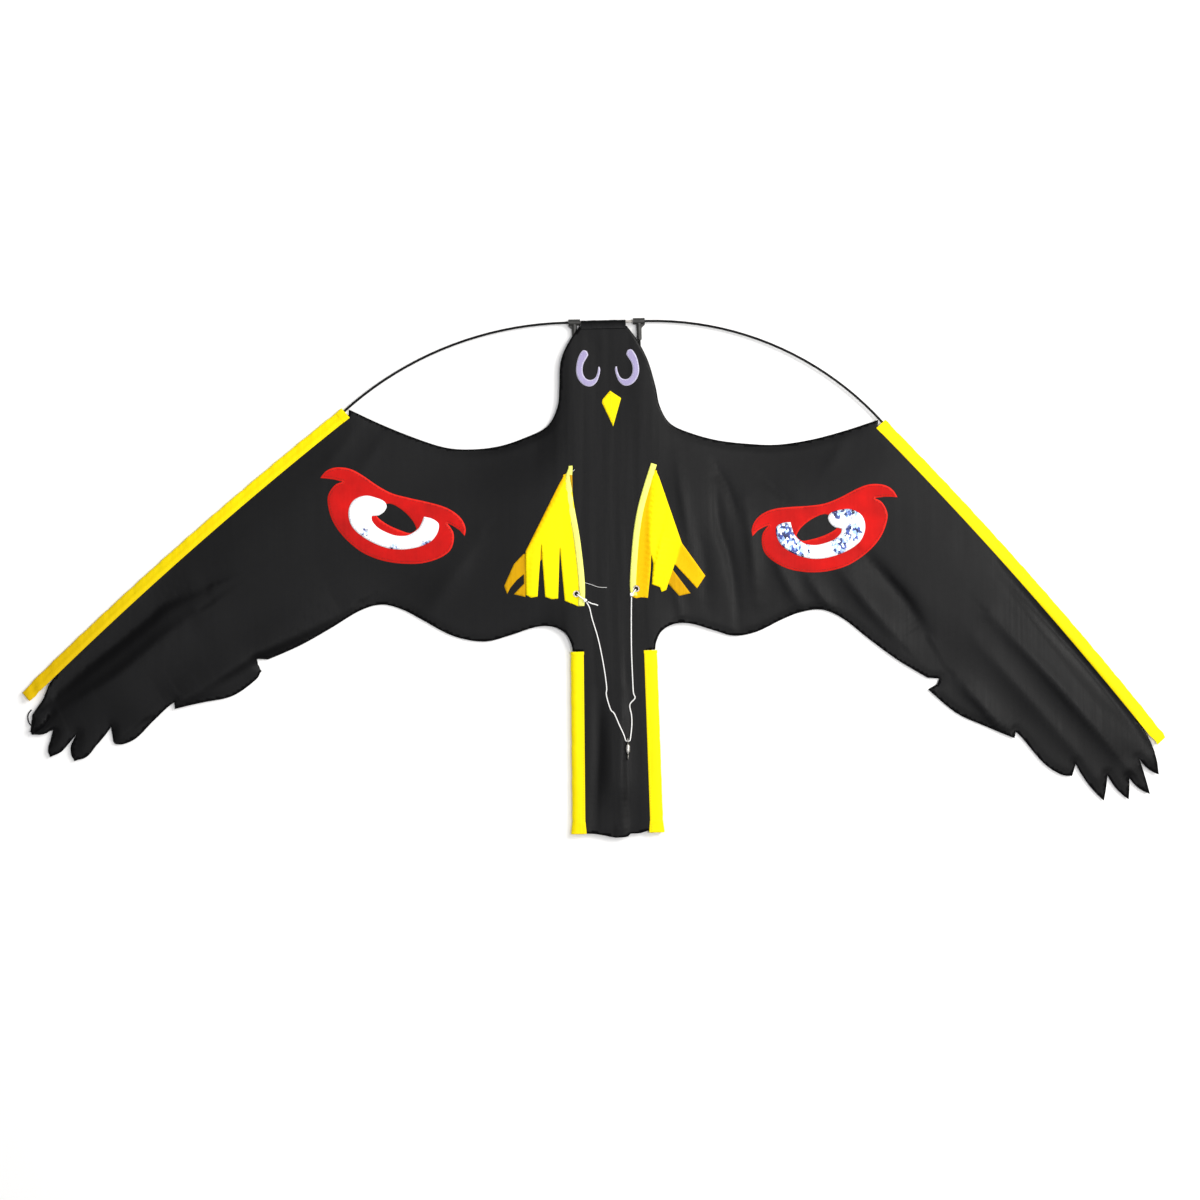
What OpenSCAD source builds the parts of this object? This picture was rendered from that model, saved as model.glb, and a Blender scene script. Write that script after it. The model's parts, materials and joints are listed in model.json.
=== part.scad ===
// Hawk kite of a bird scarer, lying face up on the floor. Sizes in millimetres.
// X runs to the right wing, Y to the head and Z up. The floor is Z = 0.
// The origin is the middle of the kite's outline, on the floor.
// Both wings come from one pattern, drawn for the right side and laid out with a turn of their own.

/* [Lay on the floor] */
// Forward turn of the left wing from its even lay, degrees
left_turn = 4.75; // [-8:0.25:8]
// Forward turn of the right wing from its even lay, degrees
right_turn = -4.75; // [-8:0.25:8]
// Sideways lean of the head cloth
head_lean = -4; // [-6:0.5:6]
// Forward shift of the left wing's eye from the right one's place
left_eye_shift = 6; // [0:0.5:8]

/* [Rods] */
// Diameter of the bowed wing rods
wing_rod_d = 2.5; // [2:0.1:3]
// Diameter of the straight spine rods
spine_rod_d = 2.5; // [2:0.1:3]
// Diameter of the tube across the head
head_tube_d = 2.6; // [2:0.1:3]

/* [T fittings] */
// Outer diameter of the cross tube
tee_d = 6.8; // [6:0.2:8]
// Length of the cross tube
tee_len = 12.5; // [10:0.5:16]
// Diameter of the stem where it leaves the cross tube
stem_d = 5.8; // [5.2:0.2:6]
// Diameter of the stem at its end
stem_end_d = 5; // [4.4:0.2:5.2]
// Length of the stem from the middle of the cross tube
stem_len = 20; // [16:1:26]

/* [Cloth] */
// Thickness given to each layer of cloth
cloth_t = 0.4; // [0.3:0.05:0.5]
// Width of the wing sleeves
sleeve_w = 13; // [11:0.5:16]
// Length of the wing sleeves
sleeve_len = 446; // [440:2:460]
// Rise of the wing sleeves' bow over their chord
lead_bow = 6; // [3:0.5:9]
// Width of the tail sleeves
tail_sleeve_w = 13.6; // [12:0.2:16]
// Length of the tail sleeves
tail_sleeve_len = 192; // [186:2:198]
// Height of the sewn sleeves over the floor
sleeve_h = 7.8; // [7.6:0.1:9]
// Length of the head hem
hem_len = 47.6; // [42:0.2:50]
// Depth of the head hem
hem_w = 9.6; // [8.6:0.2:11]

/* [Keels and eyelets] */
// Width of the binding on the keel's inner edge
binding_w = 6.4; // [4:0.2:6.6]
// Outer diameter of the eyelets
eyelet_d = 7.4; // [6.6:0.2:8]
// Hole of the eyelets
eyelet_hole_d = 4; // [3:0.2:4.2]

/* [Bridle and swivel] */
// Diameter of the bridle cord
cord_d = 1.3; // [1:0.1:1.6]
// Diameter of the knots
knot_d = 3.8; // [3:0.2:4.2]
// Outer diameter of the swivel's two eyes
swivel_eye_d = 7; // [6.6:0.1:7.4]
// Wire of the swivel's two eyes
swivel_wire_d = 1.2; // [1:0.1:1.3]
// Diameter of the swivel barrel
barrel_d = 4.6; // [4.4:0.1:5.2]
// Length of the swivel barrel
barrel_len = 7.5; // [7:0.5:10]

/* [Hidden] */
round_fn = 48;
$fn = round_fn;
arc_fn = 180;
lead_fn = 720;
rod_fit = 0.06;
stack_gap = 0.1;
slot_gap = 0.2;
slot_depth = 3;
curve_steps = 5;
over = 1;
stem_clear = 0.3;
knot_clear = 0.3;
cord_clear = 0.35;

// Heights: the rods lie in the fittings, the cloth lies over the stems, the keels lie on the cloth
rod_z = tee_d / 2;
sail_z = rod_z + stem_d / 2 + stem_clear;
sail_top = sail_z + cloth_t;
under_z = sail_top + slot_gap;
flap_z = under_z + cloth_t + slot_gap;
flap_top = flap_z + cloth_t;
binding_z = flap_top + stack_gap;
bridle_z = binding_z + cloth_t + knot_clear + knot_d / 2;

// Pattern of the right wing: leading edge at 45 degrees, swung about a point beside the body
sweep = 45;
wing_root = [282, 166];
pivot = [137, 108];
lay_from = 80;
lay_to = 220;
lean_from = 185;
lean_to = 240;
rod_side = 2.6;

function ease(t) = let (c = min(max(t, 0), 1)) c * c * (3 - 2 * c);
function turned(p, a) = [p.x * cos(a) - p.y * sin(a), p.x * sin(a) + p.y * cos(a)];
function lay(p, a) = pivot + turned(p - pivot, a * ease((p.x - lay_from) / (lay_to - lay_from)));
function lean(p) = head_lean * ease((p.y - lean_from) / (lean_to - lean_from));
function mirrored(p) = [-p.x, p.y];
function edge_rise(a) = lead_bow * (1 - pow(2 * a / sleeve_len - 1, 2));
function along_edge(a, side) = wing_root + turned([a, side + edge_rise(a)], -sweep);

// A smooth run through a few points, without its last point
function blend4(a, b, c, d, t) = b + t * (c - a) / 2 + t * t * (2 * a - 5 * b + 4 * c - d) / 2
    + t * t * t * (3 * b - a - 3 * c + d) / 2;
function smooth(p, n = curve_steps) = [for (i = [0 : len(p) - 2], k = [0 : n - 1])
    blend4(p[max(i - 1, 0)], p[i], p[i + 1], p[min(i + 2, len(p) - 1)], k / n)];
function last(p) = p[len(p) - 1];
function whole(p) = concat(smooth(p), [last(p)]);
// A bowed edge from a to b that swells by h to its right, without its last point
function bow(a, b, h, n = curve_steps) = let (d = b - a, side = [d.y, -d.x] / norm(d))
    [for (k = [0 : n - 1]) let (t = k / n) a + t * d + 4 * h * t * (1 - t) * side];
function reversed(p) = [for (i = [len(p) - 1 : -1 : 0]) p[i]];
function laid(p, a) = [for (q = p) lay(q, a)];

// Spine rods: spread from the fittings to the tail
tee_y = 267.8;
tee_x = 34;
tail_y = -271;
tail_x = 41;
splay = atan((tail_x - tee_x) / (tee_y - tail_y));
function spine_x(y) = tee_x + (tee_y - y) * tan(splay);
hem_wall = 0.6;
hem_y = tee_y + head_tube_d / 2 + hem_wall - hem_w;
hem_gap = 0.4;
tail_top_y = tail_y + tail_sleeve_len;
turn_clear = 0.4;
cloth_turn_y = tail_top_y + turn_clear;
cloth_turn_x = spine_x(tail_top_y) + 5;

// Sail pattern of the right half, from the head round the wing to the tail
head_side = [[25, hem_y + slot_depth], [37, 246], [46, 226], [50.5, 200], [54, 178], [65, 159], [88, 148],
    [115, 140], [145, 136.5], [175, 137], [210, 145], [246, 157], [279, 170]];
sleeve_inner = slot_depth - sleeve_w / 2;
cloth_start = -1;
cloth_leave = 410;
leave_step = 2;
edge_steps = 12;
edge_step = (cloth_leave - cloth_start) / edge_steps;
feather_tips = [[597, -185], [589, -206], [567, -213], [541, -216]];
feather_slits = [[575, -169], [566, -190], [543, -188.5], [509, -179]];
first_bow = 5;
outer_bow = 0.5;
inner_bow = 2.5;
fifth_lobe = [[506, -192], [494, -191], [475, -180], [452, -156], [444, -149]];
hand_lobe = [[443, -156], [411, -145], [380, -133], [349, -110]];
hook = [[358, -104], [360, -98]];
rear_edge = [[348, -98], [315, -81], [284, -61], [255, -41], [232, -33], [210, -37], [190, -46], [160, -61],
    [132, -66], [108, -60], [82, -52], [64, -52], [51, -59], [45, -70], [cloth_turn_x, cloth_turn_y]];
tail_inner = tail_sleeve_w / 2 - slot_depth;
tail_wave = [[24, tail_y - 1], [8, tail_y - 2], [-8, tail_y - 1], [-24, tail_y + 2]];

function half_sail() = concat(
    whole(head_side),
    [for (k = [0 : edge_steps]) along_edge(cloth_start + k * edge_step, sleeve_inner)],
    bow(along_edge(cloth_leave + leave_step, -sleeve_w / 2), feather_tips[0], -first_bow),
    [for (i = [0 : len(feather_tips) - 2]) each concat(
        bow(feather_tips[i], feather_slits[i], -inner_bow),
        bow(feather_slits[i], feather_tips[i + 1], -outer_bow))],
    bow(last(feather_tips), last(feather_slits), -inner_bow), [last(feather_slits)],
    whole(fifth_lobe),
    whole(hand_lobe),
    hook,
    whole(rear_edge),
    [[spine_x(tail_top_y) - tail_inner, cloth_turn_y], [spine_x(tail_y) - tail_inner, tail_y]]);
right_half = [for (p = laid(half_sail(), right_turn)) [p.x + lean(p), p.y]];
left_half = [for (p = laid(half_sail(), left_turn)) [lean(p) - p.x, p.y]];
sail_outline = concat(right_half, tail_wave, reversed(left_half));

// The kite is set so that the middle of its outline is the origin
sleeve_tips = [lay(along_edge(sleeve_len, sleeve_w / 2), right_turn),
    mirrored(lay(along_edge(sleeve_len, sleeve_w / 2), left_turn))];
reach_x = [for (p = concat(sail_outline, sleeve_tips)) p.x];
reach_y = [for (p = concat(sail_outline, [[0, tee_y + tee_d / 2]])) p.y];
middle = [round(max(reach_x) + min(reach_x)) / 2, round(max(reach_y) + min(reach_y)) / 2];

// Wing eye: brow, lower lid and the slit pupil, with the glint round it
brow = [[304, 90], [299, 97], [291, 101.5], [280.5, 102.5], [270, 100.5], [258, 94.5], [243, 85.5],
    [227.5, 78.5], [210, 75], [192.5, 72.5], [176.5, 69.5], [165, 65], [156.5, 58.5], [152, 51.5],
    [150.5, 45], [151.5, 39]];
inner_horn = [[157, 45], [163.5, 49]];
lower_lid = [[169.5, 51.5], [166, 47.5], [162.5, 41], [162.5, 31], [166.5, 21.5], [177, 13.5],
    [192.5, 7.5], [209, 5.5], [225, 6], [240.5, 9], [256, 15], [270.5, 25], [282, 36.5], [289.5, 48],
    [293.5, 59], [295, 70], [292, 78.5], [287, 84.5], [280, 87.5]];
outer_horn = [[290, 89.5], [298, 90]];
glint_outer = [[193, 56.5], [186, 55.5], [180.5, 53], [177.5, 49], [178.5, 41], [183.5, 32.5],
    [192, 26.5], [206, 21.5], [222.5, 20], [239.5, 23.5], [256.5, 31.5], [267.5, 41], [272, 52.5],
    [271, 63], [265.5, 70.5], [255, 74.5], [244.5, 73], [236, 70], [232.5, 64.5], [235, 58.5],
    [240, 54.5]];
glint_inner = [[247.5, 53.5], [247, 48.5], [241, 42], [232, 37.5], [221.5, 34.5], [210.5, 35],
    [203, 39], [197.5, 44.5], [194.5, 51.5]];
pupil = [[200, 43], [203.5, 50], [211, 58], [220.5, 64.5], [228, 67.5], [234.5, 66.5], [240, 61],
    [242.5, 55], [239.5, 51], [229.5, 45], [217.5, 40.5], [207.5, 38], [202.5, 40]];

// Head: crescent eye of the right side and the beak
head_eye_outer = [[20, 233], [21.2, 236.6], [23.6, 238.1], [26.5, 237.3], [30.2, 231.6], [32.4, 224.2],
    [33.2, 215.8], [31.4, 208.7], [27.1, 202.9], [21.4, 200.1], [16.1, 200.7], [11.5, 205], [8.8, 211.7],
    [7.8, 217.2], [8.6, 220.5]];
head_eye_inner = [[9.7, 220.4], [10.8, 214.4], [13.4, 208.9], [18.1, 206.7], [22.9, 208.3], [25.8, 213.1],
    [26.3, 219.2], [25, 224.6], [22.5, 228.9]];
beak_points = [[2, 195], [13.5, 187], [4.5, 157.5], [-6.7, 182.5], [-6, 186]];

// Keels, drawn to the right of the body: bound edge, seam, flap with its strips, under layer, eyelet, knot
left_bound = [[41, 117], [39.5, 83], [33, 39], [29, -7], [30, -31]];
left_seam = [[48.5, 108], [43, -28]];
left_foot = [[37, -31]];
left_flap = [[50.5, 104], [90.5, 28], [91, -18], [86, -21], [79, -20], [74, 36], [71, -20.5], [64, -23],
    [57.5, -22.5], [54.5, 32], [50.5, -25]];
left_under = [[52, 92], [88, 26], [93, 25], [103, 15], [114, -8], [111, -16.5], [107.5, -10], [100.5, -2],
    [93, 4], [93, -6], [104, -17], [92, -20], [86, 6], [54, 40]];
left_eyelet_at = [38, -18];
left_knot_at = [29, -25];
right_bound = [[43.5, 118], [34, 90], [27.5, 67], [22.5, 38], [18.5, -6], [19.5, -22]];
right_seam = [[48, 110], [30, -23]];
right_foot = [[25, -24]];
right_flap = [[51.5, 103], [74, 33], [98, -2], [89, -15], [66, 11], [56.5, -16], [51.5, -18], [50, -13],
    [41.5, -9.5], [43.5, 12], [41.5, 21.5], [40.5, 5], [37, -24]];
right_under = [[54, 90], [69, 36], [64, 5], [82, -20], [70, -22.5], [58, -8.5], [48, 60]];
right_eyelet_at = [25, -14];
right_knot_at = [20, -20];
seam_gap = 0.5;

// Bridle: cord route from the left knot through the swivel eye to the right knot
lie_z = sail_top + cord_d / 2 + cord_clear;
swivel_x = 12.5;
eye_top_y = -170;
turn_r = 2.7;
turn_drop = 1.6;
turn_y = eye_top_y - turn_drop;
turn_side = turn_r * cos(45);
bridle_route = [[-27.6, -27.3, bridle_z - 0.3], [-24.6, -33, bridle_z - 1.2], [-22, -45, lie_z],
    [-16, -67, lie_z], [-11, -95, lie_z], [-8.5, -117, lie_z], [-9, -125, lie_z], [-5, -140, lie_z],
    [-1, -145, lie_z + 0.3], [4, -157, bridle_z - 1], [8, -166, bridle_z - 0.2],
    [swivel_x - turn_r, turn_y, bridle_z], [swivel_x - turn_side, turn_y - turn_side, bridle_z],
    [swivel_x, turn_y - turn_r, bridle_z],
    [swivel_x + turn_side, turn_y - turn_side, bridle_z], [swivel_x + turn_r, turn_y, bridle_z],
    [17, -158, bridle_z - 1], [17, -147, lie_z + 0.3], [15.5, -136, lie_z], [21, -129, lie_z],
    [19.5, -123, lie_z], [19, -108, lie_z], [18.5, -78, lie_z], [19, -47, lie_z], [19.5, -30, bridle_z - 1],
    [19.8, -23, bridle_z - 0.2]];
ring_pitch = 4.2;
cord_sides = 8;
tie_pitch = 1.8;
tie_low_z = flap_z + cord_d / 2;
tag_route = [[-26.2, -26.4, bridle_z - 0.3], [-22, -28.6, bridle_z - 1.5], [-19, -29.3, lie_z],
    [-15.6, -30.7, lie_z]];
tag_pitch = 2.6;

// Points along a route at an even pitch, and a round tube of plain rings along them
function route(p, pitch) = concat(
    [for (i = [0 : len(p) - 2]) let (n = max(1, round(norm(p[i + 1] - p[i]) / pitch))) for (k = [0 : n - 1])
        blend4(p[max(i - 1, 0)], p[i], p[i + 1], p[min(i + 2, len(p) - 1)], k / n)],
    [p[len(p) - 1]]);
function unit(v) = v / norm(v);
module tube(p, d, level = [0, 0, 1]) {
    n = len(p);
    ring = [for (i = [0 : n - 1])
        let (t = unit(p[min(i + 1, n - 1)] - p[max(i - 1, 0)]), s = unit(cross(t, level)), u = cross(s, t))
        for (k = [0 : cord_sides - 1])
            let (a = 360 * k / cord_sides) p[i] + d / 2 * (cos(a) * s + sin(a) * u)];
    walls = [for (i = [0 : n - 2], k = [0 : cord_sides - 1])
        let (a = i * cord_sides + k, b = i * cord_sides + (k + 1) % cord_sides)
        each [[a, b, b + cord_sides], [a, b + cord_sides, a + cord_sides]]];
    near = [for (k = [cord_sides - 1 : -1 : 0]) k];
    far = [for (k = [0 : cord_sides - 1]) (n - 1) * cord_sides + k];
    polyhedron(points = ring, faces = concat(walls, [near, far]));
}

module set_down() {
    translate([-middle.x, -middle.y, 0]) children();
}
module left_side() {
    set_down() mirror([1, 0, 0]) children();
}

// Section of a sewn pocket: round at its outer edge, with the rod's bore and the slot that takes the cloth
module pocket(w, rod_at, rod_d) {
    difference() {
        union() {
            translate([w / 2 - sleeve_h / 2, sleeve_h / 2]) circle(d = sleeve_h, $fn = round_fn);
            translate([-w / 2, 0]) square([w - sleeve_h / 2, sleeve_h]);
        }
        translate([rod_at, rod_z]) circle(d = rod_d + 2 * rod_fit, $fn = round_fn);
        translate([-w / 2 - over, sail_z - slot_gap])
            square([slot_depth + slot_gap + over, cloth_t + 2 * slot_gap]);
    }
}

// The leading edge is a flat arc: its radius, half angle and middle come from the sleeve's length and rise
lead_r = sleeve_len * sleeve_len / (8 * lead_bow) + lead_bow / 2;
lead_half = asin(sleeve_len / (2 * lead_r));
module on_leading_arc(a) {
    fall = sweep - a;
    middle_of_arc = turned([sleeve_len / 2, lead_bow - lead_r], -fall);
    translate(lay(wing_root, a) + middle_of_arc) rotate([0, 0, 90 - fall - lead_half]) children();
}

module wing_sleeve_shape(a) {
    on_leading_arc(a) rotate_extrude(angle = 2 * lead_half, $fn = lead_fn)
        translate([lead_r, 0]) pocket(sleeve_w, rod_side, wing_rod_d);
}

module tail_sleeve_shape() {
    translate([spine_x(tail_top_y), tail_top_y, 0]) rotate([90, 0, splay])
        linear_extrude(tail_sleeve_len) pocket(tail_sleeve_w, 0, spine_rod_d);
}

// Wing rod: straight in the fitting, an even bow to the sleeve's mouth, then along the sleeve's own arc
// Its two ends are ground a hair thinner than the bow, to enter the fitting and the sleeve
rod_inset = 12;
tee_web = 0.5;
end_relief = 0.04;
end_lap = 0.2;
rod_straight = 2;
module wing_rod_shape(a) {
    mouth = lay(along_edge(0, rod_side), a);
    bow_x = tee_x + tee_len / 2 + rod_straight;
    rise = atan2(tee_y - mouth.y, mouth.x - bow_x);
    bow_r = norm([mouth.x - bow_x, tee_y - mouth.y]) / (2 * sin(rise));
    start_x = tee_x + tee_web;
    end_d = wing_rod_d - end_relief;
    inset = rod_inset / lead_r * 180 / PI;
    lap = end_lap / lead_r * 180 / PI;
    translate([start_x, tee_y, rod_z]) rotate([0, 90, 0]) cylinder(h = bow_x - start_x + end_lap, d = end_d);
    translate([bow_x, tee_y - bow_r, rod_z]) rotate([0, 0, 90 - 2 * rise])
        rotate_extrude(angle = 2 * rise, $fn = arc_fn)
        translate([bow_r, 0]) circle(d = wing_rod_d, $fn = round_fn);
    on_leading_arc(a) rotate([0, 0, inset]) translate([0, 0, rod_z])
        rotate_extrude(angle = 2 * lead_half - inset + lap, $fn = lead_fn)
        translate([lead_r + rod_side, 0]) circle(d = end_d, $fn = round_fn);
}

// Spine rod: from the blind hole in the stem to the closed end of the tail sleeve
stem_wall = 1;
rod_in_stem = 12;
tail_inset = 6;
module spine_rod_shape() {
    top_y = tee_y - stem_len + rod_in_stem;
    translate([spine_x(top_y), top_y, rod_z]) rotate([90, 0, splay])
        cylinder(h = top_y - tail_y - tail_inset, d = spine_rod_d);
}

// T fitting: cross tube, tapered stem with a chamfered end, and a rib in the outer corner
stem_chamfer = 0.8;
rib_t = 1.6;
rib_reach = 7.5;
rib_lap = 0.4;
module tee_shape() {
    stem = [[0, 0], [stem_d / 2, 0], [stem_end_d / 2, stem_len - stem_chamfer],
        [stem_end_d / 2 - stem_chamfer, stem_len], [0, stem_len]];
    rib = [[0, 0], [tee_len / 2, 0], [tee_len / 2, -tee_d / 2 - rib_lap], [stem_d / 2 - rib_lap, -rib_reach],
        [0, -rib_reach]];
    translate([tee_x, tee_y, rod_z]) difference() {
        union() {
            rotate([0, 90, 0]) cylinder(h = tee_len, d = tee_d, center = true);
            rotate([90, 0, splay]) rotate_extrude() polygon(stem);
            translate([0, 0, -rib_t / 2]) linear_extrude(rib_t) polygon(rib);
        }
        rotate([0, 90, 0]) cylinder(h = tee_len / 2 + over, d = wing_rod_d + 2 * rod_fit);
        rotate([0, -90, 0]) cylinder(h = tee_len / 2 + over, d = head_tube_d + 2 * rod_fit);
        rotate([90, 0, splay]) translate([0, 0, stem_len - rod_in_stem - stem_wall])
            cylinder(h = stem_len, d = spine_rod_d + 2 * rod_fit);
    }
}

// Sewn-on figures
module eye_patch_shape(a) {
    patch = laid(concat(whole(brow), inner_horn, whole(lower_lid), outer_horn), a);
    translate([0, 0, sail_top + stack_gap]) linear_extrude(cloth_t) difference() {
        polygon(patch);
        polygon(laid(smooth(concat(pupil, [pupil[0]])), a));
    }
}

glint_t = 0.3;
module eye_glint_shape(a) {
    film = laid(concat(whole(glint_outer), whole(glint_inner)), a);
    translate([0, 0, sail_top + cloth_t + 2 * stack_gap]) linear_extrude(glint_t) polygon(film);
}

module head_eye_shape() {
    crescent = concat(whole(head_eye_outer), whole(head_eye_inner));
    translate([0, 0, sail_top + stack_gap]) linear_extrude(cloth_t) polygon(crescent);
}

// Keel: the band is sewn down inside the seam, the flap and its under layer swing outside it
function inset_edge(p, w) = [for (i = [0 : len(p) - 1])
    let (t = unit(p[min(i + 1, len(p) - 1)] - p[max(i - 1, 0)])) p[i] + w * [-t.y, t.x]];
eyelet_fit = 0.1;
neck_wall = 0.5;
eyelet_neck_d = eyelet_hole_d + 2 * neck_wall;
flange_t = 0.5;

module keel_band_shape(bound, seam, foot, eyelet) {
    band = concat(whole(bound), foot, [seam[1], seam[0]]);
    translate([0, 0, flap_z]) linear_extrude(cloth_t) difference() {
        polygon(band);
        translate(eyelet) circle(d = eyelet_neck_d + 2 * eyelet_fit);
    }
}

module binding_shape(bound, eyelet) {
    edge = whole(bound);
    translate([0, 0, binding_z]) linear_extrude(cloth_t) difference() {
        polygon(concat(edge, reversed(inset_edge(edge, binding_w))));
        translate(eyelet) circle(d = eyelet_d + 2 * eyelet_fit);
    }
}

module keel_flap_shape(flap, seam) {
    inner = [for (p = [seam[1], seam[0]]) p + [seam_gap, 0]];
    translate([0, 0, flap_z]) linear_extrude(cloth_t) polygon(concat(flap, inner));
}

module keel_under_shape(under) {
    translate([0, 0, under_z]) linear_extrude(cloth_t) polygon(under);
}

// Eyelet: neck through the band, a rolled flange over it and a flat one under it
module eyelet_shape(at) {
    hole = eyelet_hole_d / 2;
    neck = eyelet_neck_d / 2;
    rim = eyelet_d / 2;
    low = under_z + stack_gap;
    high = flap_top + stack_gap;
    section = [[hole, low], [rim - flange_t, low], [rim - flange_t, flap_z - stack_gap],
        [neck, flap_z - stack_gap], [neck, high], [rim, high], [rim - flange_t / 2, high + flange_t],
        [hole + flange_t / 2, high + flange_t], [hole, high]];
    translate(at) rotate_extrude() polygon(section);
}

// Swivel: each eye ends in a headed stem that turns inside the barrel
stem_fit = 0.06;
swivel_stem_d = 1.6;
swivel_head_d = 2.4;
swivel_head_t = 0.9;
barrel_wall = 1.2;
head_play = 0.35;
barrel_bulge = 0.35;
eye_stem = 1.2;
wire_fn = 24;
ring_r = (swivel_eye_d - swivel_wire_d) / 2;
barrel_top_y = eye_top_y - swivel_eye_d - eye_stem;

module along_swivel(y) {
    translate([swivel_x, y, bridle_z]) rotate([90, 0, 0]) children();
}

// One eye, hanging from the head of its stem: the ring stands upright
module swivel_eye_shape() {
    stem_len_in = barrel_wall + head_play + swivel_head_t;
    sunk = swivel_wire_d / 2;
    translate([0, 0, -swivel_eye_d / 2]) rotate([0, 90, 0])
        rotate_extrude() translate([ring_r, 0]) circle(d = swivel_wire_d, $fn = wire_fn);
    translate([0, 0, -sunk]) cylinder(h = eye_stem + sunk + stem_len_in, d = swivel_stem_d);
    translate([0, 0, eye_stem + barrel_wall + head_play]) cylinder(h = swivel_head_t, d = swivel_head_d);
}

module sail() {
    color("#28282a") set_down() translate([0, 0, sail_z]) linear_extrude(cloth_t) polygon(sail_outline);
}
module head_hem() {
    hem_start = tee_len / 2 - tee_x + hem_gap;
    color("#2c2c2e") set_down() translate([hem_start, hem_y + hem_w / 2, 0]) rotate([90, 0, 90])
        linear_extrude(hem_len) pocket(hem_w, tee_y - hem_y - hem_w / 2, head_tube_d);
}
module head_tube() {
    color("#b8babc") set_down() translate([tee_web - tee_x, tee_y, rod_z]) rotate([0, 90, 0])
        cylinder(h = 2 * (tee_x - tee_web), d = head_tube_d);
}
module left_tee() {
    color("#3c3c3a") left_side() tee_shape();
}
module right_tee() {
    color("#3c3c3a") set_down() tee_shape();
}
module left_wing_rod() {
    color("#161616") left_side() wing_rod_shape(left_turn);
}
module right_wing_rod() {
    color("#161616") set_down() wing_rod_shape(right_turn);
}
module left_spine_rod() {
    color("#161616") left_side() spine_rod_shape();
}
module right_spine_rod() {
    color("#161616") set_down() spine_rod_shape();
}
module left_wing_sleeve() {
    color("#fff014") left_side() wing_sleeve_shape(left_turn);
}
module right_wing_sleeve() {
    color("#fff014") set_down() wing_sleeve_shape(right_turn);
}
module left_tail_sleeve() {
    color("#fff014") left_side() tail_sleeve_shape();
}
module right_tail_sleeve() {
    color("#fff014") set_down() tail_sleeve_shape();
}
module left_eye_patch() {
    color("#e12319") left_side() translate([0, left_eye_shift, 0]) eye_patch_shape(left_turn);
}
module right_eye_patch() {
    color("#e12319") set_down() eye_patch_shape(right_turn);
}
module left_eye_glint() {
    color("#dfe4ee") left_side() translate([0, left_eye_shift, 0]) eye_glint_shape(left_turn);
}
module right_eye_glint() {
    color("#dfe4ee") set_down() eye_glint_shape(right_turn);
}
module left_head_eye() {
    color("#beb4dc") left_side() head_eye_shape();
}
module right_head_eye() {
    color("#beb4dc") set_down() head_eye_shape();
}
module beak() {
    color("#ffe000") set_down() translate([0, 0, sail_top + stack_gap])
        linear_extrude(cloth_t) polygon(beak_points);
}
module left_keel_band() {
    color("#ffe000") left_side() keel_band_shape(left_bound, left_seam, left_foot, left_eyelet_at);
}
module right_keel_band() {
    color("#ffe000") set_down() keel_band_shape(right_bound, right_seam, right_foot, right_eyelet_at);
}
module left_binding() {
    color("#ffff64") left_side() binding_shape(left_bound, left_eyelet_at);
}
module right_binding() {
    color("#ffff64") set_down() binding_shape(right_bound, right_eyelet_at);
}
module left_keel_flap() {
    color("#ffe000") left_side() keel_flap_shape(left_flap, left_seam);
}
module right_keel_flap() {
    color("#ffe000") set_down() keel_flap_shape(right_flap, right_seam);
}
module left_keel_under() {
    color("#e0a800") left_side() keel_under_shape(left_under);
}
module right_keel_under() {
    color("#e0a800") set_down() keel_under_shape(right_under);
}
module left_eyelet() {
    color("#c8cacc") left_side() eyelet_shape(left_eyelet_at);
}
module right_eyelet() {
    color("#c8cacc") set_down() eyelet_shape(right_eyelet_at);
}

// A tie rises through its eyelet and crosses the binding to the knot
tie_clear = 0.2;
tie_rise = 1.6;
tie_dip = 0.4;
tie_lean = 0.6;
tie_crest = 2.4;
module tie_shape(eyelet, knot) {
    d = unit(knot - eyelet);
    end = knot - d * (knot_d / 2 + tie_clear);
    lower = eyelet + d * tie_lean;
    upper = eyelet + d * tie_crest;
    path = [[eyelet.x, eyelet.y, tie_low_z], [lower.x, lower.y, tie_low_z + tie_rise],
        [upper.x, upper.y, bridle_z - tie_dip], [end.x, end.y, bridle_z]];
    tube(route(path, tie_pitch), cord_d, [-d.y, d.x, 0]);
}
module left_tie() {
    color("#f2f2ee") left_side() tie_shape(left_eyelet_at, left_knot_at);
}
module right_tie() {
    color("#f2f2ee") set_down() tie_shape(right_eyelet_at, right_knot_at);
}
module left_knot() {
    color("#f2f2ee") left_side() translate([left_knot_at.x, left_knot_at.y, bridle_z]) sphere(d = knot_d);
}
module right_knot() {
    color("#f2f2ee") set_down() translate([right_knot_at.x, right_knot_at.y, bridle_z]) sphere(d = knot_d);
}
module left_tag() {
    color("#f2f2ee") set_down() tube(route(tag_route, tag_pitch), cord_d);
}
module bridle_cord() {
    color("#f2f2ee") set_down() tube(route(bridle_route, ring_pitch), cord_d);
}
module swivel_top_eye() {
    color("#4a4a4c") set_down() along_swivel(eye_top_y - swivel_eye_d) swivel_eye_shape();
}
module swivel_barrel() {
    bore = swivel_stem_d / 2 + stem_fit;
    room = swivel_head_d / 2 + head_play;
    wall = barrel_d / 2;
    outer = [[bore, 0], [wall - barrel_bulge, 0], [wall, barrel_len / 4], [wall, barrel_len * 3 / 4],
        [wall - barrel_bulge, barrel_len], [bore, barrel_len]];
    chamber = [[bore, barrel_len - barrel_wall], [room, barrel_len - barrel_wall], [room, barrel_wall],
        [bore, barrel_wall]];
    color("#8c8c8e") set_down() along_swivel(barrel_top_y) rotate_extrude() polygon(concat(outer, chamber));
}
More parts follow.
